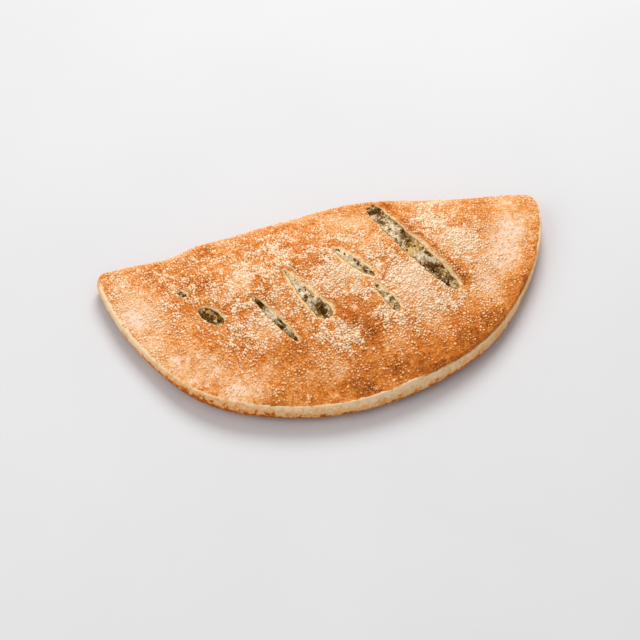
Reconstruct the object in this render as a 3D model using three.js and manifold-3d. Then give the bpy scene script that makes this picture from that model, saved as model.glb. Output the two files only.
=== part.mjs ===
// Calzone: a half-moon of folded dough round a filling, millimetres, +Z up.
// It rests on z = 0. The fold runs along X and the sealed arc faces -Y. The shape is
// worked out with the fold near y = 0, and centred over the origin at the end.
// Two solids: the baked crust with its slits, and the filling seen through them.
import * as THREE from 'three';
import Module from 'manifold-3d';

const wasm = await Module();
wasm.setup();
const { Manifold, Mesh } = wasm;

// ---- outline of the folded dough -------------------------------------------
const DISC_RADIUS = 117.6; // the disc of dough before it is folded, nearly
const ARC_SWELL = 2.6; // the left half of the arc stands out a little further
const SHOULDER_SWELL = 3.2;
const SHOULDER_AT = 127; // degrees round the arc from the right-hand tip
const FRONT_INSET = 1.9; // front right, the upper layer stops short of the lower one
const FRONT_AT = 64;
const FRONT_SPREAD = 24;
const TIP_BLEND = 13; // how softly fold and arc run into each other
const FOLD_SET_BACK = -2;
const FOLD_BOW = 4.5; // the fold bows outwards where the filling is thickest
const FOLD_BOW_AT = 15;
const HUB = { x: 0, y: -48 }; // the rings of the skin are drawn round this point

// ---- heights ----------------------------------------------------------------
const DOME_HEIGHT = 36;
const DOME_RUN = 88; // from the arc to the top of the dome
const EDGE_HEIGHT = 13; // upper edge of the pale side along the arc
const EDGE_SWELL = 2.4; // the side is tallest at the front right
const EDGE_CURL = 4; // the arc's lower edge is lifted off the table
const CURL_RUN = 14;
const NOSE_LEFT = 12.5; // thickness of the rolled fold at the thin left end
const NOSE_RIGHT = 20;
const NOSE_SWELL = 12.8; // and what the filling adds to it
const NOSE_SWELL_AT = 22;
const NOSE_SLOPE = 0.3;
const SKIN_BLEND = 5;
const LEAST_EDGE = 1.5;

// ---- dough and filling -------------------------------------------------------
const TOP_WALL = 4.5;
const BASE_WALL = 4;
const SEAL_WIDTH = 15; // solid dough along the arc
const FOLD_WALL = 8;
const POCKET_BLEND = 12;
const POCKET_ROUND = 12; // the pocket narrows to its rim over this distance
const GAP = 0.35; // between crust and filling

// ---- the pressed seam along the side ------------------------------------------
const SIDE_BULGE = 0.7;
const SKIRT = 1.1; // the lower layer stands out here
const SKIRT_AT = 54;
const SKIRT_SPREAD = 22;
const SEAM_DEPTH = 1.6; // where the two layers part at the right-hand tip
const SEAM_SPREAD = 16; // degrees

// ---- steam slits ---------------------------------------------------------------
const SLIT_LEAN = -60.5; // degrees, the common direction; "lean" turns one further
const SLIT_STEPS = 8;
const SLIT_WAVER = 0.07; // the cut edges waver
// bow bends the middle aside; end powers are 0.5 for a round end and 1 for a sharp one,
// first the end by the fold.
const SLITS = [
  {
    name: 'pinhole',
    x: -77.6, y: -35.9,
    length: 7, width: 2.5, taper: 0.1,
    lean: 1, bow: 0, ends: [0.4, 0.55],
  },
  {
    name: 'teardrop',
    x: -65.8, y: -56.4,
    length: 16.9, width: 6.6, taper: 0.25,
    lean: 8, bow: 0.3, ends: [0.38, 0.6],
  },
  {
    name: 'narrow',
    x: -34.9, y: -69,
    length: 35, width: 3.3, taper: 0.15,
    lean: 1, bow: -0.2, ends: [0.35, 0.45],
  },
  {
    name: 'spoon',
    x: -16.3, y: -59.6,
    length: 35.6, width: 6.9, taper: 0.72,
    lean: 0, bow: -1.2, ends: [0.35, 0.32],
  },
  {
    name: 'shallow',
    x: 10.8, y: -46.4,
    length: 26, width: 4.7, taper: 0.2,
    lean: 13, bow: -0.5, ends: [0.75, 0.75],
  },
  {
    name: 'short',
    x: 23, y: -69.4,
    length: 19.4, width: 4.6, taper: 0.35,
    lean: -2, bow: 0, ends: [0.65, 0.65],
  },
  {
    name: 'long',
    x: 44.5, y: -37.2,
    length: 67.2, width: 9.5, taper: 0.04,
    lean: -0.3, bow: -3.9, ends: [0.18, 0.32],
  },
];
const SLIT_DEPTH = 14; // cuts reach through the top wall into the pocket
const FILLING_SINK = 1.4; // the filling stands this far below the slit's lip
const RIDGE = { slit: 'long', aside: 8.2, width: 4, height: 1.8 };

// ---- coarse meal baked on to the crust --------------------------------------------
const GRAIN_COUNT = 88;
const GRAIN_LEAST = 0.65; // radius
const GRAIN_SPREAD = 0.4;
const GRAIN_SINK = 0.25; // of its radius
const GRAIN_CLEARANCE = 4.5; // from slits and from each other
const GRAIN_EDGE_CLEARANCE = 9;
const SEED = 41;

// ---- fineness ------------------------------------------------------------------------
const AROUND = 96;
const TOP_RINGS = [0.14, 0.28, 0.41, 0.53, 0.64, 0.73, 0.81, 0.875, 0.925, 0.965, 0.99];
const SIDE_LEVELS = [0.28, 0.5, 0.72];
const BASE_RINGS = [0.975, 0.94, 0.9, 0.84, 0.72, 0.4];
const POCKET_AROUND = 56;
const POCKET_RINGS = [0.3, 0.55, 0.75, 0.88, 0.96];

// ---- small helpers --------------------------------------------------------------------
const radians = (degrees) => (degrees * Math.PI) / 180;
const clamp = (value, low, high) => Math.min(high, Math.max(low, value));
const bell = (value, centre, width) => Math.exp(-(((value - centre) / width) ** 2));

function smoothStep(value, from, to) {
  const t = clamp((value - from) / (to - from), 0, 1);
  return t * t * (3 - 2 * t);
}

function smoothMin(a, b, blend) {
  const h = clamp(0.5 + (0.5 * (b - a)) / blend, 0, 1);
  return b * (1 - h) + a * h - blend * h * (1 - h);
}

function seededRandom(seed) {
  let state = seed >>> 0;
  return () => {
    state = (state + 0x6d2b79f5) >>> 0;
    let mixed = Math.imul(state ^ (state >>> 15), 1 | state);
    mixed = (mixed + Math.imul(mixed ^ (mixed >>> 7), 61 | mixed)) ^ mixed;
    return ((mixed ^ (mixed >>> 14)) >>> 0) / 4294967296;
  };
}

// ---- plan ------------------------------------------------------------------------------
// Degrees round the arc: 0 at the right-hand tip, 180 at the left-hand one.
function arcAngle(x, y) {
  const angle = (Math.atan2(-y, x) * 180) / Math.PI;
  return angle < -90 ? 180 : angle;
}

function arcRadius(angle) {
  const turned = clamp(angle, 0, 180);
  const swell = ARC_SWELL * smoothStep(turned, 70, 112);
  const drawn = 1.5 * bell(turned, 150, 14) + FRONT_INSET * bell(turned, FRONT_AT, FRONT_SPREAD);
  return DISC_RADIUS + swell + SHOULDER_SWELL * bell(turned, SHOULDER_AT, 15) - drawn;
}

function tipSwell(angle) {
  const right = 3 * bell(angle, 0, 24) - 1.9 * bell(angle, 34, 14);
  const left = 1.5 * bell(angle, 183, 7) - 1.6 * bell(angle, 168, 14);
  return right + left;
}

function insideArc(x, y) {
  const angle = arcAngle(x, y);
  return arcRadius(angle) + tipSwell(angle) - Math.hypot(x, y);
}

function insideFold(x, y) {
  return FOLD_SET_BACK + FOLD_BOW * bell(x, FOLD_BOW_AT, 70) - y;
}

function insideOutline(x, y) {
  return smoothMin(insideArc(x, y), insideFold(x, y), TIP_BLEND);
}

function insidePocket(x, y) {
  return smoothMin(insideArc(x, y) - SEAL_WIDTH, insideFold(x, y) - FOLD_WALL, POCKET_BLEND);
}

// ---- slit frame: along runs down the slit, aside points to its right-hand lip -------------
function slitBow(slit, along) {
  return slit.bow * clamp(1 - ((2 * along) / slit.length) ** 2, 0, 1);
}

function slitCoordinates(slit, x, y) {
  const lean = radians(SLIT_LEAN + slit.lean);
  const dx = x - slit.x;
  const dy = y - slit.y;
  const along = dx * Math.cos(lean) + dy * Math.sin(lean);
  return { along, aside: -dx * Math.sin(lean) + dy * Math.cos(lean) - slitBow(slit, along) };
}

function slitPoint(slit, along, aside) {
  const lean = radians(SLIT_LEAN + slit.lean);
  const bent = aside + slitBow(slit, along);
  return {
    x: slit.x + along * Math.cos(lean) - bent * Math.sin(lean),
    y: slit.y + along * Math.sin(lean) + bent * Math.cos(lean),
  };
}

function slitHalfWidth(slit, along) {
  const u = clamp((2 * along) / slit.length, -1, 1);
  const lens = Math.max(0, 1 - u * u) ** (u < 0 ? slit.ends[0] : slit.ends[1]);
  const weight = 1 + slit.taper * (u - Math.abs(slit.taper) * 0.4);
  const waver = 1 + SLIT_WAVER * Math.sin(along / 2.6 + slit.x);
  return 0.5 * slit.width * lens * weight * waver;
}

// ---- heights ----------------------------------------------------------------------------
function noseHeight(x) {
  const base = NOSE_LEFT + (NOSE_RIGHT - NOSE_LEFT) * smoothStep(x, -84, -64);
  const spread = x < NOSE_SWELL_AT ? 62 : 44;
  return base + NOSE_SWELL * bell(x, NOSE_SWELL_AT, spread);
}

function lumps(x, y) {
  const broad = Math.sin(x / 17 + 1.3 * Math.sin(y / 23)) * Math.sin(y / 15 + 0.8 * Math.sin(x / 21 + 1));
  const fine = Math.sin(x / 8.5 + y / 13) * Math.sin(y / 9.5 - x / 17 + 2);
  return 0.9 * broad + 0.5 * fine;
}

function ridge(x, y) {
  const slit = SLITS.find((item) => item.name === RIDGE.slit);
  const at = slitCoordinates(slit, x, y);
  const reach = smoothStep(slit.length / 2 + 4 - Math.abs(at.along), 0, 14);
  return RIDGE.height * reach * bell(at.aside, RIDGE.aside, RIDGE.width);
}

function topHeight(x, y) {
  const fromArc = Math.max(insideArc(x, y), 0);
  const fromFold = Math.max(insideFold(x, y), 0);
  const swell = EDGE_SWELL * bell(arcAngle(x, y), FRONT_AT, FRONT_SPREAD);
  const edge = EDGE_HEIGHT + swell - 3 * smoothStep(-x, 60, 110);
  const peak = DOME_HEIGHT - 9 * smoothStep(-x, 20, 90) - 2 * smoothStep(x, 60, 110);
  const rise = Math.sin((Math.PI / 2) * clamp(fromArc / DOME_RUN, 0, 1));
  const dome = edge + (peak - edge) * rise;
  const radius = noseHeight(x) / 2;
  const turn = clamp(fromFold / radius, 0, 1);
  const roll = radius * (1 + Math.sqrt(1 - (1 - turn) ** 2));
  const nose = roll + NOSE_SLOPE * Math.max(fromFold - radius, 0);
  const fade = clamp(insideOutline(x, y) / 8, 0, 1);
  return smoothMin(dome, nose, SKIN_BLEND) + fade * (lumps(x, y) + ridge(x, y));
}

function baseHeight(x, y) {
  const curl = EDGE_CURL * clamp(1 - Math.max(insideArc(x, y), 0) / CURL_RUN, 0, 1) ** 2;
  const run = 0.45 * noseHeight(x);
  const turn = clamp(Math.max(insideFold(x, y), 0) / run, 0, 1);
  const roll = 0.42 * noseHeight(x) * (1 - Math.sqrt(1 - (1 - turn) ** 2));
  return Math.min(Math.max(curl, roll), topHeight(x, y) - LEAST_EDGE);
}

// The pocket is a lens between the two walls; "shrink" draws it in on every side.
function pocketHeights(x, y, shrink) {
  const roof = topHeight(x, y) - TOP_WALL;
  const floor = BASE_WALL;
  const turn = clamp((insidePocket(x, y) - shrink) / POCKET_ROUND, 0, 1);
  const half = Math.max(0, ((roof - floor) / 2 - shrink) * Math.sqrt(1 - (1 - turn) ** 2));
  return { upper: (roof + floor) / 2 + half, lower: (roof + floor) / 2 - half };
}

// ---- closed skins made of rings ------------------------------------------------------------
function outlinePoints(inside, count) {
  const samples = 2400;
  const points = [];
  for (let i = 0; i < samples; i += 1) {
    const angle = (2 * Math.PI * i) / samples;
    let low = 0;
    let high = 200;
    for (let step = 0; step < 36; step += 1) {
      const middle = (low + high) / 2;
      const isIn = inside(HUB.x + middle * Math.cos(angle), HUB.y + middle * Math.sin(angle)) > 0;
      low = isIn ? middle : low;
      high = isIn ? high : middle;
    }
    points.push({ x: HUB.x + low * Math.cos(angle), y: HUB.y + low * Math.sin(angle) });
  }
  const travelled = [0];
  for (let i = 0; i < samples; i += 1) {
    const next = points[(i + 1) % samples];
    travelled.push(travelled[i] + Math.hypot(next.x - points[i].x, next.y - points[i].y));
  }
  const evenly = [];
  let at = 0;
  for (let k = 0; k < count; k += 1) {
    const wanted = (travelled[samples] * k) / count;
    while (travelled[at + 1] < wanted) {
      at += 1;
    }
    const t = (wanted - travelled[at]) / (travelled[at + 1] - travelled[at]);
    const next = points[(at + 1) % samples];
    const here = points[at];
    evenly.push({ x: here.x + t * (next.x - here.x), y: here.y + t * (next.y - here.y) });
  }
  return evenly;
}

function towardsHub(point, t) {
  return { x: HUB.x + (point.x - HUB.x) * t, y: HUB.y + (point.y - HUB.y) * t };
}

// Rings run from the top centre to the bottom centre, each the same way round.
function skinFromRings(topCentre, rings, baseCentre) {
  const count = rings[0].length;
  const vertices = [...topCentre];
  for (const ring of rings) {
    for (const point of ring) {
      vertices.push(point.x, point.y, point.z);
    }
  }
  vertices.push(...baseCentre);
  const faces = [];
  const index = (ring, k) => 1 + ring * count + (k % count);
  const last = 1 + rings.length * count;
  for (let k = 0; k < count; k += 1) {
    faces.push(0, index(0, k), index(0, k + 1));
    faces.push(last, index(rings.length - 1, k + 1), index(rings.length - 1, k));
    for (let ring = 0; ring + 1 < rings.length; ring += 1) {
      faces.push(index(ring, k), index(ring + 1, k), index(ring + 1, k + 1));
      faces.push(index(ring, k), index(ring + 1, k + 1), index(ring, k + 1));
    }
  }
  return toManifold(vertices, faces);
}

function toManifold(vertices, faces) {
  const mesh = new Mesh({
    numProp: 3,
    vertProperties: new Float32Array(vertices),
    triVerts: new Uint32Array(faces),
  });
  mesh.merge();
  return new Manifold(mesh);
}

// ---- crust ---------------------------------------------------------------------------------
function sideRing(outline, level) {
  return outline.map((point, k) => {
    const before = outline[(k + outline.length - 1) % outline.length];
    const after = outline[(k + 1) % outline.length];
    const run = Math.hypot(after.x - before.x, after.y - before.y);
    const normal = { x: (after.y - before.y) / run, y: (before.x - after.x) / run };
    const upper = topHeight(point.x, point.y);
    const lower = baseHeight(point.x, point.y);
    const band = smoothStep(upper - lower, 2, 6);
    const angle = arcAngle(point.x, point.y);
    const parted = SEAM_DEPTH * bell(angle, 2, SEAM_SPREAD);
    const bulge = SIDE_BULGE * Math.sin(Math.PI * level) - (level === 0.5 ? parted : 0);
    const skirt = SKIRT * bell(angle, SKIRT_AT, SKIRT_SPREAD) * smoothStep(level, 0, 0.7);
    const push = (bulge + skirt) * band;
    return {
      x: point.x + normal.x * push,
      y: point.y + normal.y * push,
      z: upper + (lower - upper) * level,
    };
  });
}

function doughBody() {
  const outline = outlinePoints(insideOutline, AROUND);
  const lay = (t, height) =>
    outline.map((point) => {
      const at = towardsHub(point, t);
      return { ...at, z: height(at.x, at.y) };
    });
  const rings = TOP_RINGS.map((t) => lay(t, topHeight));
  for (const level of [0, ...SIDE_LEVELS, 1]) {
    rings.push(sideRing(outline, level));
  }
  rings.push(...BASE_RINGS.map((t) => lay(t, baseHeight)));
  const top = [HUB.x, HUB.y, topHeight(HUB.x, HUB.y)];
  return skinFromRings(top, rings, [HUB.x, HUB.y, 0]);
}

function pocketBody(shrink, extra) {
  const outline = outlinePoints((x, y) => insidePocket(x, y) - shrink - 0.05, POCKET_AROUND);
  const lay = (t, side) =>
    outline.map((point) => {
      const at = towardsHub(point, t);
      return { ...at, z: pocketHeights(at.x, at.y, shrink)[side] + (side === 'upper' ? extra(at) : 0) };
    });
  const rings = POCKET_RINGS.map((t) => lay(t, 'upper'));
  rings.push(outline.map((point) => ({ ...point, z: pocketHeights(point.x, point.y, shrink).lower })));
  rings.push(...[...POCKET_RINGS].reverse().map((t) => lay(t, 'lower')));
  const centre = pocketHeights(HUB.x, HUB.y, shrink);
  return skinFromRings([HUB.x, HUB.y, centre.upper], rings, [HUB.x, HUB.y, centre.lower]);
}

// A slit is a lens in plan, drawn down through the skin with rounded lips.
// Each level: how far above the skin it lies, and how much its width is scaled.
function slitBody(slit, levels, widthOff) {
  const rings = levels.map((level) => {
    const ring = [];
    for (const sense of [1, -1]) {
      for (let i = 0; i < SLIT_STEPS; i += 1) {
        const u = -Math.cos((Math.PI * (i + 0.5)) / SLIT_STEPS) * sense;
        const along = (slit.length / 2 - widthOff) * u;
        const half = Math.max(slitHalfWidth(slit, along) * level.scale - widthOff, 0.2);
        const { x, y } = slitPoint(slit, along, -sense * half);
        ring.push({ x, y, z: topHeight(x, y) + level.above });
      }
    }
    return ring;
  });
  const { x, y } = slitPoint(slit, 0, 0);
  const skin = topHeight(x, y);
  const top = [x, y, skin + levels[0].above];
  const base = [x, y, skin + levels[levels.length - 1].above];
  return skinFromRings(top, rings, base);
}

function slitCutter(slit) {
  const levels = [
    { above: 3, scale: 1.5 },
    { above: 0.4, scale: 1.25 },
    { above: -0.9, scale: 1 },
    { above: -SLIT_DEPTH, scale: 0.9 },
  ];
  return slitBody(slit, levels, 0);
}

// The filling swells up into each slit and stops short of its lips.
function slitPlug(slit) {
  const levels = [
    { above: -FILLING_SINK, scale: 0.55 },
    { above: -FILLING_SINK - 0.8, scale: 0.85 },
    { above: -SLIT_DEPTH + 1.5, scale: 0.85 },
  ];
  return slitBody(slit, levels, GAP + 0.05);
}

function grainBody(at, radius, random) {
  const shape = new THREE.IcosahedronGeometry(radius, 0);
  const place = shape.getAttribute('position');
  const spots = new Map();
  const vertices = [];
  const faces = [];
  for (let i = 0; i < place.count; i += 1) {
    const corner = new THREE.Vector3().fromBufferAttribute(place, i);
    const key = corner.toArray().map((value) => value.toFixed(3)).join(' ');
    if (!spots.has(key)) {
      spots.set(key, vertices.length / 3);
      corner.multiplyScalar(0.78 + 0.4 * random());
      vertices.push(at.x + corner.x, at.y + corner.y, at.z + corner.z * 0.85);
    }
    faces.push(spots.get(key));
  }
  return toManifold(vertices, faces);
}

function isClearOfSlits(x, y) {
  return SLITS.every((slit) => {
    const at = slitCoordinates(slit, x, y);
    const beyond = Math.max(0, Math.abs(at.along) - slit.length / 2);
    const beside = Math.max(0, Math.abs(at.aside) - slit.width * 0.75);
    return Math.hypot(beyond, beside) > GRAIN_CLEARANCE;
  });
}

// Meal lies thickest along a band across the middle of the crust.
function mealDensity(x, y) {
  return 0.25 + 0.75 * bell(y + 0.12 * x, -52, 34);
}

// Height of the faceted skin itself, so that every grain is seated in it.
function facetHeight(mesh, x, y) {
  const { triVerts, vertProperties, numProp } = mesh;
  const corner = (index) => Array.from(vertProperties.subarray(index * numProp, index * numProp + 3));
  let height = -Infinity;
  for (let i = 0; i < triVerts.length; i += 3) {
    const [a, b, c] = [corner(triVerts[i]), corner(triVerts[i + 1]), corner(triVerts[i + 2])];
    const area = (b[0] - a[0]) * (c[1] - a[1]) - (b[1] - a[1]) * (c[0] - a[0]);
    const u = ((b[0] - x) * (c[1] - y) - (b[1] - y) * (c[0] - x)) / area;
    const v = ((c[0] - x) * (a[1] - y) - (c[1] - y) * (a[0] - x)) / area;
    if (area > 0 && u >= 0 && v >= 0 && u + v <= 1) {
      height = Math.max(height, u * a[2] + v * b[2] + (1 - u - v) * c[2]);
    }
  }
  return height;
}

function grains(dough) {
  const random = seededRandom(SEED);
  const placed = [];
  for (let tries = 0; placed.length < GRAIN_COUNT && tries < 20000; tries += 1) {
    const x = -120 + 240 * random();
    const y = -122 + 126 * random();
    const isWanted = random() < mealDensity(x, y);
    const isOnTop = insideOutline(x, y) > GRAIN_EDGE_CLEARANCE && insideFold(x, y) > 16;
    const isFree = placed.every((item) => Math.hypot(item.x - x, item.y - y) > GRAIN_CLEARANCE);
    if (isWanted && isOnTop && isFree && isClearOfSlits(x, y)) {
      placed.push({ x, y, radius: GRAIN_LEAST + GRAIN_SPREAD * random() });
    }
  }
  const skin = dough.getMesh();
  return placed.map(({ x, y, radius }) => {
    const z = facetHeight(skin, x, y) - GRAIN_SINK * radius;
    return grainBody({ x, y, z }, radius, random);
  });
}

function crustBody() {
  const hollow = Manifold.union([pocketBody(0, () => 0), ...SLITS.map(slitCutter)]);
  const dough = doughBody();
  return Manifold.union([dough, ...grains(dough)]).subtract(hollow);
}

function fillingBody() {
  return Manifold.union([pocketBody(GAP, () => 0), ...SLITS.map(slitPlug)]);
}

// ---- hand over ---------------------------------------------------------------------------
function toNode(name, solid, look) {
  const source = solid.getMesh();
  const geometry = new THREE.BufferGeometry();
  const flat = new Float32Array((source.vertProperties.length / source.numProp) * 3);
  for (let i = 0; i < flat.length / 3; i += 1) {
    flat.set(source.vertProperties.subarray(i * source.numProp, i * source.numProp + 3), i * 3);
  }
  geometry.setAttribute('position', new THREE.BufferAttribute(flat, 3));
  geometry.setIndex(new THREE.BufferAttribute(new Uint32Array(source.triVerts), 1));
  geometry.computeVertexNormals();
  const node = new THREE.Mesh(geometry, new THREE.MeshStandardMaterial(look));
  node.name = name;
  return node;
}

// The row's origin is on the table, under the middle of the crust's outline.
function centringShift(solid) {
  const { min, max } = solid.boundingBox();
  return [-(min[0] + max[0]) / 2, -(min[1] + max[1]) / 2, 0];
}

const crust = crustBody();
const shift = centringShift(crust);
const calzone = new THREE.Group();
calzone.name = 'calzone';
calzone.add(toNode('crust', crust.translate(shift), { color: 0xc98a4e, roughness: 0.85, metalness: 0 }));
calzone.add(
  toNode('filling', fillingBody().translate(shift), { color: 0x5a5536, roughness: 0.6, metalness: 0 }),
);

export default calzone;
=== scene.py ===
"""A baked calzone: crust, filling, coarse meal and crumbs, with a plain studio.

Lengths in the settings are metres, as everywhere in Blender. The shape functions work
in millimetres in the fold's own frame: X along the fold, -Y towards the sealed arc and
Z up from the table. Angles are degrees round the arc, from 0 at the right-hand tip to
180 at the left-hand one.

Named numbers keep one order: a bell is its centre, its width and its height, and a step
is where it starts, where it ends and how high it goes, or 1 if that is left out.
"""

import math

import bmesh
import bpy
import numpy as np
from bpy.props import FloatProperty, FloatVectorProperty, IntProperty, PointerProperty
from bpy.types import NodeSocket, Operator, Panel, PropertyGroup
from mathutils import Matrix, Vector, noise


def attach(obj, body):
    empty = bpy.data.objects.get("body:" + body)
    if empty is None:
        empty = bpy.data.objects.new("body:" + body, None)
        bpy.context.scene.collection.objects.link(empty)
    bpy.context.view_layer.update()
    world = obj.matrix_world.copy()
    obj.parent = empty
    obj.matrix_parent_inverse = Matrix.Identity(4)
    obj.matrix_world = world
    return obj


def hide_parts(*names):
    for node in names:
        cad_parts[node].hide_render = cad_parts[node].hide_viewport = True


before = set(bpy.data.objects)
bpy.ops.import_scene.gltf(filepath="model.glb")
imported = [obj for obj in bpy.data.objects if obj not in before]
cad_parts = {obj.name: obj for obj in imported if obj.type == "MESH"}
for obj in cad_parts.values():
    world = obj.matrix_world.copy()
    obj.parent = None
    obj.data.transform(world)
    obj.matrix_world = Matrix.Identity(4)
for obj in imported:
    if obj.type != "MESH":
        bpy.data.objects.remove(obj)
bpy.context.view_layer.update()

bl_info = {
    "name": "Calzone",
    "version": (1, 0, 0),
    "blender": (4, 5, 0),
    "location": "3D View > Sidebar > Calzone",
    "description": "Builds a baked calzone with its filling, meal, crumbs and studio",
    "category": "Mesh",
}

MM = 0.001

# The fold's frame is moved by this much to centre the crust. All rings close in on the hub.
ROW_SHIFT = np.array([-0.56, 58.35, 0.0])
HUB = np.array([0.0, -48.0])

# ---- the outline of the dough
DISC_RADIUS = 117.6
ARC_SWELL = (70, 112, 2.6)
FRONT = (64.0, 24.0)
ARC_BUMPS = (
    (127, 15, 3.2), (150, 14, -1.5), (*FRONT, -1.9), (0, 24, 3.0), (34, 14, -1.9), (183, 7, 1.5),
    (168, 14, -1.6),
)
TIP_BLEND = 13.0
FOLD_SET_BACK = -2.0
FOLD_BOW = (15.0, 70.0, 4.5)

# ---- the top and the underside; falls are lower parts towards the tips
DOME_HEIGHT = 36.0
DOME_RUN = 88.0
DOME_FALL_LEFT = (20, 90, 9.0)
DOME_FALL_RIGHT = (60, 110, 2.0)
EDGE_HEIGHT = 13.0
EDGE_SWELL = (*FRONT, 2.4)
EDGE_FALL_LEFT = (60, 110, 3.0)
EDGE_CURL = 4.0
CURL_RUN = 14.0
LEAST_EDGE = 1.5
NOSE_LEFT = 12.5
NOSE_RISE = (-84, -64, 7.5)
NOSE_SWELL_AT = 22.0
NOSE_SWELL_WIDTHS = (62, 44)
NOSE_SWELL = 12.8
NOSE_SLOPE = 0.3
ROLL_RUN = 0.45
ROLL_HEIGHT = 0.42
SKIN_BLEND = 5.0
BROAD_LUMP = 0.9
FINE_LUMP = 0.5
LUMP_FADE = 8.0
BLISTER_FADE = 6.0
LEAST_BLISTER = 0.15

# ---- the pocket for the filling
TOP_WALL = 4.5
BASE_WALL = 4.0
SEAL_WIDTH = 15.0
FOLD_WALL = 8.0
POCKET_BLEND = 12.0
POCKET_ROUND = 12.0
POCKET_GAP = 0.35
POCKET_TRIM = 0.05
POCKET_AROUND = 220
POCKET_RINGS = 22
POCKET_SAMPLES = 1800
POCKET_CROWDING = 1.7

# ---- the side band, from the top edge at step 0 to the bottom edge at step 1
SIDE_STEPS = (0, 0.05, 0.14, 0.26, 0.38, 0.46, 0.52, 0.6, 0.72, 0.84, 0.93, 1)
SIDE_HEIGHTS = (2, 6)
SIDE_BULGE = 0.7
OVERHANG = 0.35
SKIRT = (54.0, 22.0, 1.1)
SKIRT_STEP = (0, 0.7)
SEAM_GAPE = (2, 16.0, 1.6)
SEAM_CREASE = 0.12
SEAM_BELL = (0.5, 0.07)
# How much closer the rings lie by the outline, on top and below.
TOP_CROWDING = 1.5
BASE_CROWDING = 1.6
BASE_AROUND = 560
BASE_RINGS = 44
LEAST_RING = 8

# ---- the steam slits
SLIT_LEAN = -60.5
SLIT_DEPTH = 14.0
TAPER_EVEN = 0.4
WAVER = 0.07
WAVER_LENGTH = 2.6
RIPPLE = 0.06
RIPPLE_LENGTH = 0.9
RIM_BELL = (3.4, 2.6)
RIM_LEFT = 0.35
RIM_DROP = 0.4
RIM_DROP_RUN = 1.3
RIM_MIDDLE = 3.5
RIM_REACH = 7.5
# Steps along a slit, with -1 at the end by the fold and 1 at the other end.
LIP_CHANGE = (-0.4, 0.5)
BURNT_END = (-0.92, -0.72)
# The brown streak: how far outside the lip, how wide, how far past the slit and its fade.
STREAK_OUTSIDE = 1.9
STREAK_WIDTH = 1.6
STREAK_PAST = 3
STREAK_FADE = 8
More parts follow.
